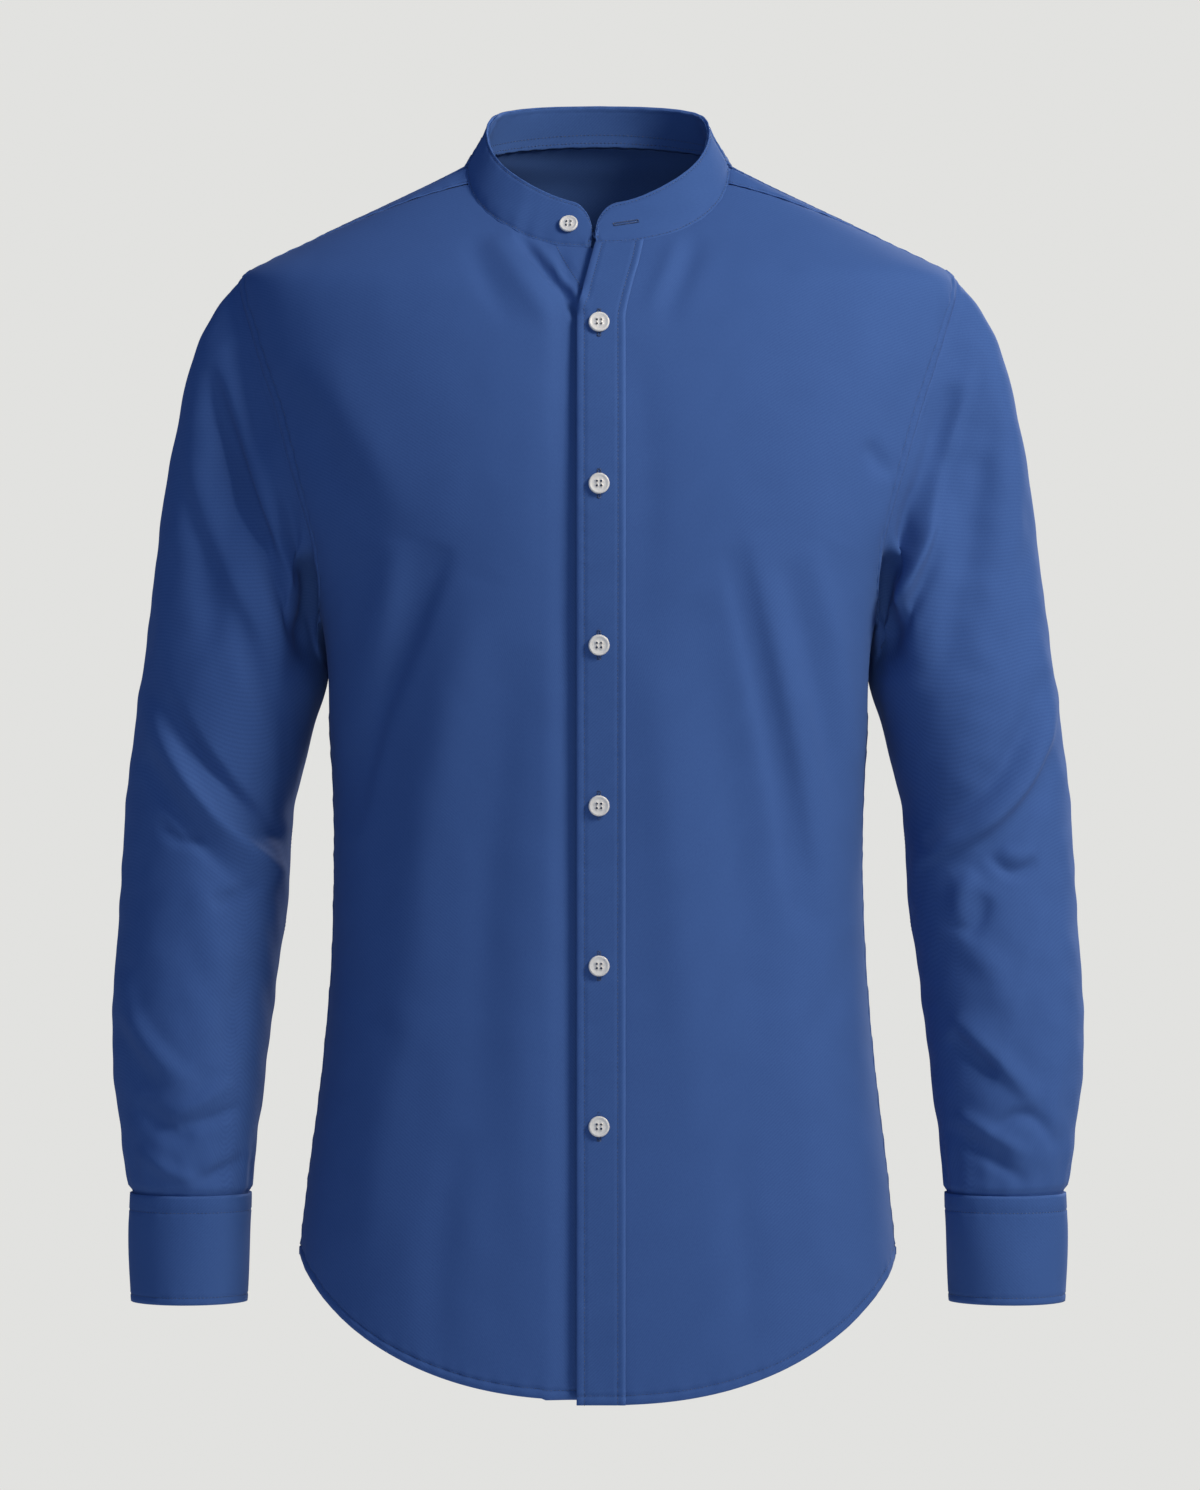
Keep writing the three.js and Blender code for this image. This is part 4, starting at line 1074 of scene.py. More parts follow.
@dataclass
class Torso:
    """The panels that wrap the body: two fronts, a back and a yoke."""

    wall: float = 0.9
    arm_rows: int = 12
    side_rows: int = 13
    back_arm_rows: int = 8
    yoke_back_lines: int = 10
    yoke_lines: int = 15
    side: float = 0.01
    stand_stitch: float = 23.0

    def front_points(self, is_left: bool, offsets: np.ndarray, shares: np.ndarray) -> np.ndarray:
        """Points of a front in rows from the collar and shoulder down to the hem.

        Args:
            is_left: Whether it is the wearer's left front.
            offsets: Distances from the front edge of the columns that run level with it.
            shares: Shares of the way from there to the side, of the other columns.

        Returns:
            The grid of places.
        """
        flip = 1 if is_left else -1
        mirror = np.array([flip, 1, 1])
        drop = Pattern.drop_left if is_left else Pattern.drop_right
        strip_width, neck_cells = (Pattern.placket_width, 5) if is_left else (50.0, 4)
        rows = np.linspace(0, self.arm_rows + self.side_rows, 220)[:, None]
        end_row = self.arm_rows + self.side_rows
        edge = flip * Pattern.front_edge(Pattern.neck_side_z - Pattern.neck_front_drop, is_left)
        top_z = float(Pattern.neck_seam(Pattern.neck_turn_at(edge))[2])
        hem_z = Pattern.side_hem_z - drop
        front_z = np.interp(rows, [0, self.arm_rows, end_row], [top_z, Pattern.underarm_z - 14, hem_z])
        first_z = np.interp(1, [0, self.arm_rows], [top_z, Pattern.underarm_z - 14])

        def level(off: np.ndarray, z: np.ndarray) -> np.ndarray:
            """Points at distances from the front edge."""
            return Body.from_view(Pattern.front_edge(z, is_left) + flip * off, z, -1)

        def beside(off: np.ndarray) -> np.ndarray:
            """Columns beside the front edge, which start on the collar seam."""
            neck = Pattern.neck_seam(Pattern.neck_turn_at(edge + off)) * mirror
            share = np.minimum(rows, 1)[..., None]
            return mix(neck, np.where(rows[..., None] < 1, level(off, first_z), level(off, front_z)), share)

        arm_turns = np.interp(rows, [0, 5, self.arm_rows], [Pattern.shoulder_arm_turn, 84, 180])
        side_z = np.interp(rows, [self.arm_rows, end_row], [Pattern.underarm_z, Pattern.side_hem_z])
        side = stack(Body.section(side_z)[0], -self.side, side_z)
        outer = np.where(rows[..., None] <= self.arm_rows, Pattern.armhole(arm_turns), side) * mirror
        first = beside(offsets[None, :])
        inner = beside(np.array([[strip_width]]))
        cells = neck_cells + 6
        strip_turn = Pattern.neck_turn_at(edge + strip_width)
        along_top = shares * cells
        neck_turns = mix(strip_turn, Pattern.shoulder_neck_turn, np.minimum(along_top / neck_cells, 1))
        shoulder = Pattern.shoulder_seam(np.maximum(along_top - neck_cells, 0) / 6)
        on_neck = (along_top < neck_cells)[:, None]
        top = np.where(on_neck, Pattern.neck_seam(neck_turns), shoulder) * mirror
        ends = (Pattern.neck_seam(strip_turn) * mirror, Pattern.armhole(Pattern.shoulder_arm_turn) * mirror)
        hem_start, hem_end = level(np.array([strip_width]), np.array([hem_z]))[0], outer[-1, 0]
        u = shares[None, :, None]
        v = ((front_z - top_z) / (hem_z - top_z))[..., None]
        hem = mix(hem_start, hem_end, shares[:, None])
        corners = mix(mix(ends[0], ends[1], u), mix(hem_start, hem_end, u), v)
        rest = mix(top, hem, v) + mix(inner, outer, u) - corners
        level_share = (rows - self.arm_rows) / self.side_rows
        form_x = rest[..., 0] / self.reach(rest)
        shift = Pattern.hem_z(form_x, drop) - mix(hem_z, Pattern.side_hem_z, shares[None, :])
        rest[..., 2] += smooth(level_share) ** 1.5 * shift
        points = np.concatenate([np.broadcast_to(first, (len(rows), len(offsets), 3)), rest], axis=1)
        lift = Pattern.underlap(points[..., 0], points[..., 2], is_left)
        return Body.settle(points, lift)[0]

    @staticmethod
    def reach(points: np.ndarray) -> np.ndarray:
        """Each point's distance from the middle as a share of the form's own."""
        half_width, front, back = Body.section(points[..., 2])
        depth = np.where(points[..., 1] < 0, front, back)
        total = np.abs(points[..., 0] / half_width) ** ROUNDNESS + np.abs(points[..., 1] / depth) ** ROUNDNESS
        return total ** (1 / ROUNDNESS)

    def back_base(self, rows: np.ndarray, shares: np.ndarray) -> np.ndarray:
        """Points near the form for the back: shares run from -1 at the right to 1 at the left."""
        across = np.abs(shares)
        in_arm = rows <= self.back_arm_rows
        level = (rows - self.back_arm_rows) / self.side_rows
        arm_share = np.minimum(rows / self.back_arm_rows, 1)
        side_z = mix(Pattern.underarm_z, Pattern.side_hem_z, np.maximum(level, 0))
        side = stack(Body.section(side_z)[0], self.side, side_z)
        arm = Pattern.armhole(mix(Pattern.yoke_corner_turn, 180, arm_share))
        end = np.where(in_arm[..., None], arm, side)
        hem_z = Pattern.side_hem_z - Pattern.drop_back
        centre_z = np.where(
            in_arm,
            mix(Pattern.yoke_z(0), Pattern.underarm_z, arm_share),
            mix(Pattern.underarm_z, hem_z, np.maximum(level, 0)),
        )
        start = stack(0, Body.section(centre_z)[2], centre_z)
        chord = mix(start, end, across[..., None])
        corner_x = Pattern.armhole(Pattern.yoke_corner_turn)[0]
        seam = Pattern.yoke_z(corner_x * across) - mix(Pattern.yoke_z(0), Pattern.yoke_z(corner_x), across)
        hem = Pattern.hem_z(chord[..., 0] / self.reach(chord), Pattern.drop_back)
        hem = hem - mix(hem_z, Pattern.side_hem_z, across)
        chord[..., 2] += np.where(in_arm, (1 - arm_share) * seam, smooth(level) ** 1.5 * hem)
        chord[..., 0] *= np.where(shares < 0, -1, 1)
        return chord

    def front(self, is_left: bool) -> Cloth:
        """One front, from its free edge to the armhole and side."""
        strip = np.linspace(0, Pattern.placket_width if is_left else 50.0, 14)
        points = self.front_points(is_left, strip, np.linspace(0, 1, 120)[1:])
        edges = (Edge.TUCKED, Edge.HEMMED, Edge.PLAIN, Edge.FELLED)
        cloth = Cloth(reaching_under(points), edges, 2.7, pucker=0.3).finish()
        if not is_left:
            cloth.lines["stand"] = cloth.line_at(cloth.distances(1), self.stand_stitch, 1, 1)
        return cloth

    def back(self) -> Cloth:
        """The back, below the yoke."""
        rows = np.linspace(0, self.back_arm_rows + self.side_rows, 220)[:, None]
        points = Body.settle(self.back_base(rows, np.linspace(-1, 1, 241)[None, :]))[0]
        edges = (Edge.TUCKED, Edge.HEMMED, Edge.FELLED, Edge.FELLED)
        return Cloth(reaching_under(points), edges, 2.9, pucker=0.3).finish()

    def yoke(self) -> Cloth:
        """The yoke, from the collar seam out over the shoulders."""
        lines = np.linspace(-self.yoke_lines, self.yoke_lines, 301)
        away = np.abs(lines)
        side = np.where(lines < 0, -1, 1)[:, None] * np.array([1, 0, 0]) + np.array([0, 1, 1])
        neck = Pattern.neck_seam(mix(180, Pattern.shoulder_neck_turn, away / self.yoke_lines)) * side
        seam = self.back_base(np.zeros((1, 1)), lines[None, :] / self.yoke_back_lines)[0]
        past = np.maximum(away - self.yoke_back_lines, 0) / (self.yoke_lines - self.yoke_back_lines)
        over = Pattern.armhole(mix(Pattern.yoke_corner_turn, 360 + Pattern.shoulder_arm_turn, past)) * side
        outer = np.where((away <= self.yoke_back_lines)[:, None], seam, over)
        chord = mix(neck, outer, np.linspace(0, 1, 60)[:, None, None])
        points = Body.settle(chord)[0]
        return Cloth(points, (Edge.PLAIN, Edge.LAPPED, Edge.LAPPED, Edge.LAPPED), 2.7).finish()


@dataclass
class Collar:
    """A standing band with rounded ends, sewn round the neck."""

    top_half_width: float = 69.0
    top_front: float = 50.0
    top_back: float = 53.0
    wall: float = 2.2
    end_radius: float = 17.0
    end_height: float = 24.0
    seam_depth: float = 1.8
    inner_rows: tuple[float, float] = (4.2, 9.8)

    def half(self, is_left: bool) -> tuple[np.ndarray, np.ndarray, np.ndarray]:
        """Foot, top and share of the full height, from the front to the back."""
        flip = 1 if is_left else -1
        edge = flip * float(Pattern.front_edge(Pattern.neck_side_z - Pattern.neck_front_drop, is_left))
        offsets = 30 * np.linspace(0, 1, 26) ** 1.4
        rest = np.linspace(float(Pattern.neck_turn_at(edge + offsets[-1])), 180, 121)[1:]
        turns = np.r_[Pattern.neck_turn_at(edge + offsets), rest]
        seam = Pattern.neck_seam(turns) * np.array([flip, 1, 1])
        lift = np.where(turns < 90, Pattern.underlap(seam[:, 0], seam[:, 2], is_left), 0)
        foot = Body.settle(seam, lift)[0]
        sine, cosine = np.sin(np.radians(turns)), np.cos(np.radians(turns))
        depth = np.where(turns < 90, self.top_front, self.top_back)
        shift = 0.0 if is_left else 1.2 * smooth((40 - turns) / 20)
        x = flip * self.top_half_width * signed_power(sine, 0.95)
        top = stack(x, shift - depth * cosine, read_between(BAND_LEVELS, "turn", "z", turns))
        off = np.r_[offsets, np.full(len(rest), self.end_radius)]
        inset = self.end_radius - np.minimum(off, self.end_radius)
        rise = 1 - (self.end_radius - np.sqrt(self.end_radius**2 - inset**2)) / self.end_height
        return foot, top, rise

    def cloth(self) -> Cloth:
        """The band as a cloth, from its top edge down to the seam."""
        right, left = self.half(False), self.half(True)
        foot, top, rise = (np.concatenate([r[:-1], l[::-1]]) for r, l in zip(right, left))
        up = unit(top - foot)
        height = np.linalg.norm(top - foot, axis=1) * rise
        sunk = self.seam_depth / height
        share = mix(1, -sunk, np.linspace(0, 1, 18)[:, None])
        rolls = 0.35 * np.sin(np.linspace(0, 40, len(foot))) * np.maximum(share * (1 - share) * 4, 0)
        points = foot + up * (share * height)[..., None]
        normals = Cloth(points).normals()
        raised = mix(0.45, 1.0, smooth(share * 4)) * self.wall / 2
        points = points + normals * (raised + rolls)[..., None]
        return Cloth(points, (Edge.PIPED, Edge.PIPED, Edge.PIPED, Edge.PIPED), 1.9, pucker=0.12).finish()


@dataclass
class Sleeve:
    """A long sleeve, its cuff and the placket over the slit at the back."""

    wall: float = 0.9
    cap_end: float = -330.0
    end_z: float = -649.0
    cuff_top: float = -646.3
    cuff_height: float = 68.7
    cuff_wall: float = 2.2
    lap: float = 2.8

    def ring(self, turn: np.ndarray, z: np.ndarray) -> np.ndarray:
        """Points round the sleeve at heights below the underarm."""
        outer, inner, centre, depth = (
            read_between(SLEEVE_LEVELS, "z", name, z) for name in ("outer", "inner", "centre_y", "half_depth")
        )
        x = mix(inner, outer, (1 + np.cos(np.radians(turn))) / 2)
        return stack(x, centre - depth * np.sin(np.radians(turn)), z)

    def cap(self, turn: np.ndarray, share: np.ndarray, is_left: bool) -> np.ndarray:
        """Lines from the armhole down to the first level ring."""
        mirror = np.array([1 if is_left else -1, 1, 1])
        place, normal = Body.settle(Pattern.armhole(turn) * mirror)
        place, normal = place * mirror, normal * mirror
        along = unit(Pattern.armhole(turn + 1) - Pattern.armhole(turn - 1))
        rise = np.cos(np.radians(turn))
        outward = unit(np.cross(along, normal))
        outward *= np.sign((outward * stack(1.0, 0.0, -0.5 * rise)).sum(axis=-1, keepdims=True))
        under = (1 - rise) / 2
        hang = unit(stack(0.15 + 0.1 * under, 0.0, -1.0))
        crown = smooth((rise - 0.25) / 0.75)[..., None]
        crown_leave = stack(0.82, -0.3 * np.sin(np.radians(turn)), -0.57)
        leave = mix(outward, hang, mix(0.36, 1, smooth(under * 1.15))[..., None])
        leave = unit(mix(leave, crown_leave, crown))
        around = np.mod(turn, 360)
        tuck = (smooth((around - 112) / 26) * smooth((180 - around) / 34))[..., None]
        leave = unit(mix(leave, stack(0.3, 1.0, -0.2), 0.85 * tuck))
        start = place - outward * 0.8 - normal * 0.95
        end = self.ring(turn, self.cap_end)
        arrive = unit(self.ring(turn, self.cap_end - 1) - end)
        length = np.linalg.norm(end - start, axis=-1, keepdims=True)
        t = share[..., None]
        return (
            start * (1 + 2 * t) * (1 - t) ** 2
            + leave * length * (mix(0.88, 0.6, crown) + 1.3 * tuck) * t * (1 - t) ** 2
            + end * t * t * (3 - 2 * t)
            + arrive * length * mix(0.88, 1.3, crown) * t * t * (t - 1)
        )

    def surface(self, turns: np.ndarray, is_left: bool) -> Cloth:
        """The sleeve's form with its folds, still without sewn edges."""
        cap = self.cap(turns[None, :], np.linspace(0, 1, 90)[:, None], is_left)
        heights = np.linspace(self.cap_end, self.end_z, 125)[1:, None]
        lower = self.ring(turns[None, :], heights)
        points = np.concatenate([cap, lower])
        cloth = Cloth(points, is_tube=True, centre=points.mean(axis=1, keepdims=True), pitch=2.6)
        cloth.points = cloth.respaced(0, Edge.ROLLED, Edge.ROLLED)
        cloth.centre = cloth.points.mean(axis=1, keepdims=True)
        normal, down, across = cloth.normals(), cloth.distances(0), cloth.distances(1)
        cloth.grain = np.stack([across, down], axis=-1)
        turn = np.mod(np.broadcast_to(turns, down.shape), 360)
        x, z = cloth.points[..., 0], cloth.points[..., 2]
        folds = RIGHT_SLEEVE_FOLDS if not is_left else LEFT_SLEEVE_FOLDS
        facing = smooth(-normal[..., 1] * 1.6 + 0.15)
        relief = relief_of(folds, x, z) * facing + relief_of(SLEEVE_WRAPS, turn, z)
        drift = 0.6 * unevenness(cloth.points, 60, 9, 11) + 0.25 * unevenness(cloth.points, 22, 9, 12)
        gather = 1.1 * np.sin(np.radians(turn) * 17) * smooth((z + 668) / 50) * smooth((-606 - z) / 30)
        gather *= smooth((150 - np.abs(turn - 270)) / 60) * 0.7 + 0.3
        held = smooth(down / 8) * smooth((down[-1:] - down) / 18)
        seam = 0.4 * np.exp(-(((turn - 180) * 0.9 / 3.0) ** 2))
        inside = 2.3 * smooth((self.cuff_top + 4 - z) / 4)
        rim = 0.9 * np.exp(-(((down - 3.2) / 1.9) ** 2))
        height = held * (relief + drift) + smooth(down / 20) * seam + gather - inside
        height = height + rim * smooth(down / 1.5)
        cloth.points = cloth.points + normal * height[..., None]
        return cloth

    def cloth(self, is_left: bool) -> Cloth:
        """The sleeve as a tube that starts and ends at its underarm seam."""
        turns = np.linspace(-180, 180, 145)[:-1]
        cloth = self.surface(turns, is_left)
        rows = cloth.distances(0)[:, 0] > 9
        cloth.lines["underseam"] = StitchLine(cloth.points[rows][:, 2], cloth.normals()[rows][:, 2])
        return cloth if is_left else cloth.mirrored()

    def placket(self, is_left: bool) -> Cloth:
        """The placket that lies over the slit."""
        turns = np.linspace(262.5, 295.5, 14)
        around = self.surface(np.linspace(0, 360, 241)[:-1], is_left)
        down = around.points[:, 0, 2]
        rows = (down < -519) & (down > self.cuff_top - 0.5)
        angles = np.linspace(0, 360, 241)[:-1]
        base = around.points + around.normals() * 1.5
        grid = np.stack([[np.interp(turns, angles, row[:, k]) for k in range(3)] for row in base[rows]])
        edges = (Edge.TURNED, Edge.PLAIN, Edge.PIPED, Edge.PIPED)
        cloth = Cloth(np.moveaxis(grid, 1, 2), edges, 2.0, pucker=0.1)
        cloth.centre = around.centre[rows].mean(axis=0, keepdims=True)
        cloth = cloth.finish()
        return cloth if is_left else cloth.mirrored()

    def cuff_points(self, turns: np.ndarray, fall: np.ndarray) -> np.ndarray:
        """Points of the cuff's outer face, from the underlap round to the lap."""
        down = fall / (self.cuff_height + 0.3)
        outer, inner = mix(294.6, 294.2, down), mix(218, 221, down)
        over = smooth((turns - 262) / 16) * self.lap
        half_width, half_depth = (outer - inner) / 2 + over, 37.4 + over
        angle = np.radians(turns)
        bow = 0.8 * np.sin(math.pi * down) + 0.5 * np.sin(3 * angle + 4 * down) * smooth(down * 3)
        x = (outer + inner) / 2 + np.cos(angle) * (half_width + bow)
        return stack(x, mix(-11, -15.5, down) - np.sin(angle) * (half_depth + bow), self.cuff_top - fall)

    def cuff(self, is_left: bool) -> Cloth:
        """The cuff as a cloth, its lap and stitched edges included."""
        turns, fall = np.linspace(-76, 310, 300), np.linspace(0, self.cuff_height, 40)
        points = self.cuff_points(turns[None, :], fall[:, None])
        cloth = Cloth(points, (Edge.BANDED, Edge.TURNED, Edge.TURNED, Edge.TURNED), 2.2, pucker=0.14)
        cloth.centre = np.array([[[256.5, -13.0, -680.0]]])
        cloth = cloth.finish()
        return cloth if is_left else cloth.mirrored()


@dataclass(frozen=True)
class Button:
    """A four-hole shirt button with a dished middle and a rolled rim, sewn on with thread."""

    diameter: float
    hole: float = 1.5
    spread: float = 1.35
    around: int = 56

    def disc(self, radii: np.ndarray, heights: np.ndarray) -> tuple[np.ndarray, list[list[int]]]:
        """A surface of rings joined to a middle with four round holes.

        Args:
            radii: Radii of the rings, outermost first.
            heights: Their heights.

        Returns:
            Points and faces, with the holes' rims first among the points.
        """
        angles = np.linspace(0, 2 * math.pi, self.around, endpoint=False)
        ring = np.stack([np.cos(angles), np.sin(angles)], axis=-1)
        rim = np.linspace(0, 2 * math.pi, 20, endpoint=False)
        small = np.stack([np.cos(rim), np.sin(rim)], axis=-1) * self.hole / 2
        centres = [(a * self.spread, b * self.spread) for a in (1, -1) for b in (1, -1)]
        flat = [Vector(p) for c in centres for p in (small + c)] + [Vector(p) for p in ring * radii[-1]]
        edges = [(20 * h + k, 20 * h + (k + 1) % 20) for h in range(4) for k in range(20)]
        edges += [(80 + k, 80 + (k + 1) % self.around) for k in range(self.around)]
        cut = delaunay_2d_cdt(flat, edges, [], 0, 1e-6)
        middles = [sum((cut[0][i] for i in face), Vector((0, 0))) / len(face) for face in cut[2]]
        kept = [
            list(face)
            for face, middle in zip(cut[2], middles)
            if min(math.dist(middle, c) for c in centres) > self.hole / 2 * 0.9
        ]
        points = [np.array([[p[0], p[1], heights[-1]] for p in cut[0]])]
        faces = kept
        for k in range(len(radii) - 1):
            start = 80 + self.around * (1 + k)
            points.append(np.column_stack([ring * radii[k], np.full(self.around, heights[k])]))
            inner = 80 if k == len(radii) - 2 else start + self.around
            for i in range(self.around):
                j = (i + 1) % self.around
                faces.append([start + i, start + j, inner + j, inner + i])
        return np.concatenate(points), faces

    def shape(self) -> tuple[np.ndarray, np.ndarray, list[list[int]]]:
        """Points and faces of the closed button, lying on the plane z = 0."""
        radius = self.diameter / 2
        rim = [(1.0, 1.05), (0.99, 1.5), (0.955, 1.95), (0.9, 2.2), (0.84, 2.2)]
        profile = np.array([*rim, (0.77, 2.02), (0.7, 1.85), (0.6, 1.75)])
        back = np.array([(1.0, 1.05), (0.985, 0.7), (0.94, 0.32), (0.86, 0.06), (0.75, 0.0), (0.6, 0.0)])
        top_points, top_faces = self.disc(profile[:, 0] * radius, profile[:, 1])
        low_points, low_faces = self.disc(back[:, 0] * radius, back[:, 1])
        shift = len(top_points)
        faces = list(top_faces) + [[i + shift for i in face[::-1]] for face in low_faces]
        for hole in range(4):
            for k in range(20):
                a, b = 20 * hole + k, 20 * hole + (k + 1) % 20
                faces.append([b, a, a + shift, b + shift])
        return np.concatenate([top_points, low_points]), faces

    def thread(self) -> np.ndarray:
        """Points of the threads that cross between the holes, at the button's middle."""
        sewing = Sewing(height=0.3)
        groups = []
        for side in (1, -1):
            for k in (-0.18, 0.18):
                place = np.array([[side * self.spread + k, 0, 1.75]])
                along, normal = np.array([[0.0, 1.0, 0.0]]), np.array([[0.0, 0.0, 1.0]])
                groups.append(sewing.threads(place, along, normal, 2.7, 0.24))
        return np.concatenate(groups)

    def seat(self, maker: Maker, node: str, place: np.ndarray, normal: np.ndarray) -> None:
        """Makes the button on a surface, and its threads.

        Args:
            maker: Writes the pieces.
            node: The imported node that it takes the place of.
            place: Its seat.
            normal: The surface's normal.
        """
        across = unit(np.cross([0, 0, 1], normal))
        turn = np.column_stack([across, np.cross(normal, across), normal])
        points, faces = self.shape()
        merged = self.weld(points @ turn.T + place, faces)
        maker.piece(node + "_resin", *merged, Slot.RESIN, node)
        threads = self.thread() @ turn.T + place
        Sewing().sew(maker, node + "_thread", [threads], is_pale=True)

    @staticmethod
    def weld(points: np.ndarray, faces: Sequence[Sequence[int]]) -> tuple[np.ndarray, list[list[int]]]:
        """Joins points that lie in the same place."""
        _, first, back = np.unique(np.round(points, 4), axis=0, return_index=True, return_inverse=True)
        back = back.ravel()
        joined = [[int(back[i]) for i in face] for face in faces]
        return points[first], joined


@dataclass
class Shirt:
    """The whole shirt, piece by piece."""

    maker: Maker
    torso: Torso = field(default_factory=Torso)
    collar: Collar = field(default_factory=Collar)
    sleeve: Sleeve = field(default_factory=Sleeve)
    sewing: Sewing = field(default_factory=Sewing)
    strip_wall: float = 1.1
    button_x: float = 0.6
    button_top: float = -103.3
    button_pitch: float = 99.0

    def sheet(
        self, name: str, cloth: Cloth, thickness: float, slot: Slot,
        threads: Sequence[np.ndarray] = (),
    ) -> None:
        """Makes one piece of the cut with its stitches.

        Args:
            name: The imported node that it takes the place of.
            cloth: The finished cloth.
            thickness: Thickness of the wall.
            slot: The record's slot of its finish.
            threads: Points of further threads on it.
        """
        made = self.maker.cloth(name + "_cloth", cloth, thickness, slot, name)
        runs = [self.sewing.run(line) for line in cloth.lines.values()] + list(threads)
        pieces = [self.sewing.sew(self.maker, name + "_stitches", runs)] if runs else []
        LOG.info("%s: %d faces", name, len(made.data.polygons))

    def body(self) -> None:
        """Makes the fronts, the back and the yoke."""
        yoke = self.torso.yoke()
        self.sheet("yoke", yoke, self.torso.wall, Slot.TWILL)
        self.sheet("back", self.torso.back(), self.torso.wall, Slot.TWILL)
        for name, is_left in (("front_left", True), ("front_right", False)):
            front = self.torso.front(is_left)
            self.sheet(name, front, self.torso.wall, Slot.TWILL)

    def opening(self) -> None:
        """Makes the placket, the button stand and the front buttons."""
        empty = np.array([])
        width = Pattern.placket_width
        base = Cloth(self.torso.front_points(True, np.linspace(0, width, 24), empty))
        lifted = base.points + base.normals() * (0.3 + self.strip_wall)
        edges = (Edge.TUCKED, Edge.HEMMED, Edge.TURNED, Edge.TURNED)
        placket = Cloth(lifted, edges, 1.9, pucker=0.12).finish()
        seats = [self.seat_at(self.button_top - k * self.button_pitch) for k in range(6)]
        holes = [self.hole_at(place, normal) for place, normal in seats]
        self.sheet("placket", placket, self.strip_wall, Slot.STRIP, holes)
        base = Cloth(self.torso.front_points(False, np.linspace(0, 26, 20), empty))
        under = base.points - base.normals() * (self.torso.wall + 0.35)
        stand = Cloth(under, (Edge.PLAIN, Edge.PLAIN, Edge.ROLLED, Edge.ROLLED), 2.4).finish()
        self.sheet("button_stand", stand, self.strip_wall, Slot.STRIP)
        for k, (place, normal) in enumerate(seats):
            Button(13.0).seat(self.maker, f"button_front_{k + 1}", place + normal * 1.75, normal)

    def seat_at(self, z: float) -> tuple[np.ndarray, np.ndarray]:
        """Place and normal of the left front at a button's height."""
        base = Body.from_view(np.array([self.button_x]), np.array([z]), -1)
        place, normal = Body.settle(base)
        return place[0], normal[0]

    def hole_at(self, place: np.ndarray, normal: np.ndarray) -> np.ndarray:
        """An upright buttonhole on the placket."""
        up = unit(np.array([0.0, 0.0, 1.0]) - normal * normal[2])
        return self.sewing.hole(place + normal * (0.3 + self.strip_wall), up, normal, 16.5)

    def neck(self) -> None:
        """Makes the collar band and its button."""
        band = self.collar.cloth()
        normal, across = band.normals(), band.distances(1)
        middle = band.points.shape[0] // 2
        lengths = across[middle]
        column = int(np.argmin(np.abs(lengths - 19.5)))
        place, out = band.points[middle, column], normal[middle, column]
        hole_column = int(np.argmin(np.abs(lengths - (lengths[-1] - 23.5))))
        along = unit(band.points[middle, hole_column + 4] - band.points[middle, hole_column - 4])
        hole = self.sewing.hole(band.points[middle, hole_column], along, normal[middle, hole_column], 14.5)
        down = band.distances(0)
        rows = [band.line_at(down[-1:] - down, away, 0, -1) for away in self.collar.inner_rows]
        inside = [self.sewing.run(row.part(0.15, 0.85).below(self.collar.wall)) for row in rows]
        self.sheet(
            "collar_band", band, self.collar.wall, Slot.STRIP, [hole, *inside]
        )
        Button(11.8).seat(self.maker, "button_collar", place + out * 0.25, out)

    def arms(self) -> None:
        """Makes the sleeves, their plackets, the cuffs and the cuff buttons."""
        for side, is_left in (("left", True), ("right", False)):
            sleeve = self.sleeve.cloth(is_left)
            self.sheet(f"sleeve_{side}", sleeve, self.sleeve.wall, Slot.TWILL)
            slit = self.sleeve.placket(is_left)
            self.sheet(f"sleeve_placket_{side}", slit, self.strip_wall, Slot.STRIP)
            cuff = self.sleeve.cuff(is_left)
            seat, normal = cuff.points, cuff.normals()
            row = seat.shape[0] // 2
            column = int(np.argmin(np.abs(cuff.distances(1)[row] - (cuff.distances(1)[row, -1] - 9.0))))
            place, out = seat[row, column], normal[row, column]
            along = unit(seat[row, column + 2] - seat[row, column - 2])
            hole = self.sewing.hole(place - along * 2, along, out, 15.0)
            self.sheet(f"cuff_{side}", cuff, self.sleeve.cuff_wall, Slot.STRIP, [hole])
            Button(11.8).seat(self.maker, f"button_cuff_{side}", place + out * 0.25, out)


@dataclass(frozen=True)
class Lamp:
    """A square soft light: its place and size in metres, power in watts and colour."""

    name: str
    place: tuple[float, float, float]
    size: float
    power: float
    colour: tuple[float, float, float]


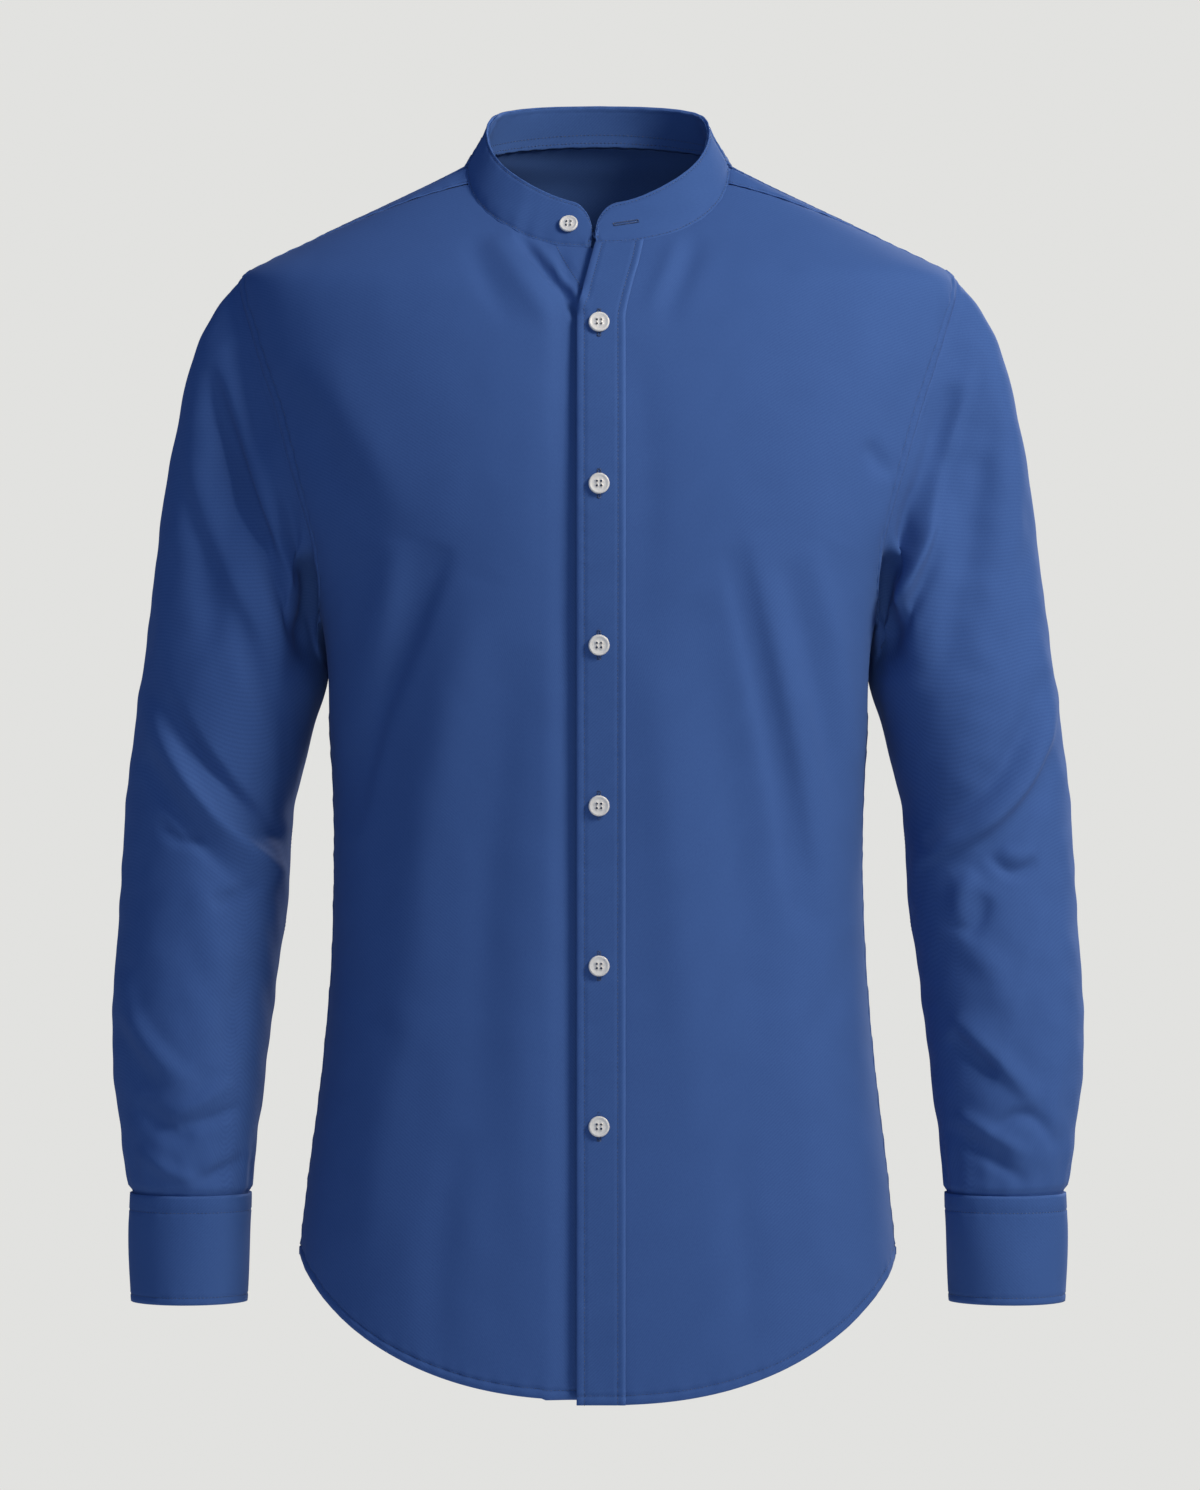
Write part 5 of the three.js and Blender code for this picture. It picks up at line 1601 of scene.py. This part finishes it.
@dataclass
class Studio:
    """A pale studio: a warm key light, weak cool light all round and a camera level with the chest."""

    distance: float = 5.0
    target: tuple[float, float, float] = (0.0012, 0.0, -0.3655)
    elevation: float = 1.2
    frame_height: float = 0.939
    ground_z: float = -1.45
    backdrop: tuple[float, float, float, float] = (0.76, 0.76, 0.744, 1.0)
    shade: tuple[float, float, float, float] = (0.1, 0.165, 0.29, 1.0)
    lamps: tuple[Lamp, ...] = (
        Lamp("key", (1.46, -1.12, 1.0), 0.66, 48, (1.0, 0.9, 0.76)),
        Lamp("fill", (-0.2, -6.5, 0.2), 1.5, 42, (1.0, 0.97, 0.93)),
        Lamp("back", (2.2, 3.6, 1.5), 1.0, 130, (1.0, 0.95, 0.88)),
    )

    def ground(self) -> None:
        """Lays the floor."""
        mesh = bpy.data.meshes.new("floor")
        corners = [(x, y, self.ground_z) for x, y in ((-5, -5), (5, -5), (5, 5), (-5, 5))]
        mesh.from_pydata(corners, [], [(0, 1, 2, 3)])
        mesh.materials.append(PaleGround("pale_floor").material())
        floor = bpy.data.objects.new("floor", mesh)
        bpy.context.scene.collection.objects.link(floor)

    def air(self) -> bpy.types.World:
        """The room: pale to look at, and a weak cool light on the shirt."""
        world = bpy.data.worlds.new("studio")
        world.use_nodes = True
        tree = world.node_tree
        tree.nodes.clear()
        tints = []
        for colour in (self.shade, self.backdrop):
            tint = tree.nodes.new("ShaderNodeBackground")
            tint.inputs["Color"].default_value = colour
            tints.append(tint)
        path = tree.nodes.new("ShaderNodeLightPath")
        both = tree.nodes.new("ShaderNodeMixShader")
        out = tree.nodes.new("ShaderNodeOutputWorld")
        tree.links.new(path.outputs["Is Camera Ray"], both.inputs[0])
        for tint, socket in zip(tints, both.inputs[1:]):
            tree.links.new(tint.outputs[0], socket)
        tree.links.new(both.outputs[0], out.inputs["Surface"])
        return world

    def hang(self, lamp: Lamp) -> None:
        """Hangs one soft light, turned to the shirt."""
        data = bpy.data.lights.new(lamp.name, "AREA")
        data.size = lamp.size
        data.energy = lamp.power
        data.color = lamp.colour
        hung = bpy.data.objects.new(lamp.name, data)
        hung.location = lamp.place
        hung.rotation_euler = (Vector(self.target) - Vector(lamp.place)).to_track_quat("-Z", "Y").to_euler()
        hung.visible_camera = False
        bpy.context.scene.collection.objects.link(hung)

    def build(self) -> None:
        """Sets the room, the lights and the camera."""
        scene = bpy.context.scene
        scene.world = self.air()
        self.ground()
        for lamp in self.lamps:
            self.hang(lamp)
        angle = math.radians(self.elevation)
        data = bpy.data.cameras.new("camera")
        data.sensor_width = 36
        data.lens = 36 * self.distance / self.frame_height
        data.clip_end = 60
        camera = bpy.data.objects.new("camera", data)
        away = Vector((0, -math.cos(angle), math.sin(angle))) * self.distance
        camera.location = Vector(self.target) + away
        camera.rotation_euler = (-away).to_track_quat("-Z", "Y").to_euler()
        scene.collection.objects.link(camera)
        scene.camera = camera
        scene.view_settings.view_transform = "Standard"
        scene.view_settings.look = "None"


def main() -> None:
    """Builds the shirt and its studio."""
    logging.basicConfig(level=logging.INFO, format="%(name)s %(message)s")
    finishes = {
        Slot.TWILL: Twill("blue_twill", Dye((0.034, 0.082, 0.252), (0.057, 0.128, 0.355))).material(),
        # The strip finish is the same twill dyed a shade darker: painted shade, so the collar band, which
        # leans up into the key light, reads no brighter than the chest.
        Slot.STRIP: Twill("blue_twill_strip_painted_shade", Dye((0.033, 0.08, 0.245), (0.055, 0.125, 0.345))).material(),
        Slot.RESIN: Resin("off_white_resin", Dye((0.62, 0.615, 0.6), (0.74, 0.735, 0.72))).material(),
    }
    thread = Thread("navy_thread", Dye((0.014, 0.042, 0.13), (0.022, 0.062, 0.18))).material()
    pale = Thread("pale_thread", Dye((0.5, 0.49, 0.47), (0.64, 0.63, 0.61))).material()
    shirt = Shirt(Maker(finishes, thread, pale))
    shirt.body()
    shirt.opening()
    shirt.neck()
    shirt.arms()
    Studio().build()
    LOG.info("%d pieces", len(shirt.maker.made))


if __name__ == "__main__":
    main()
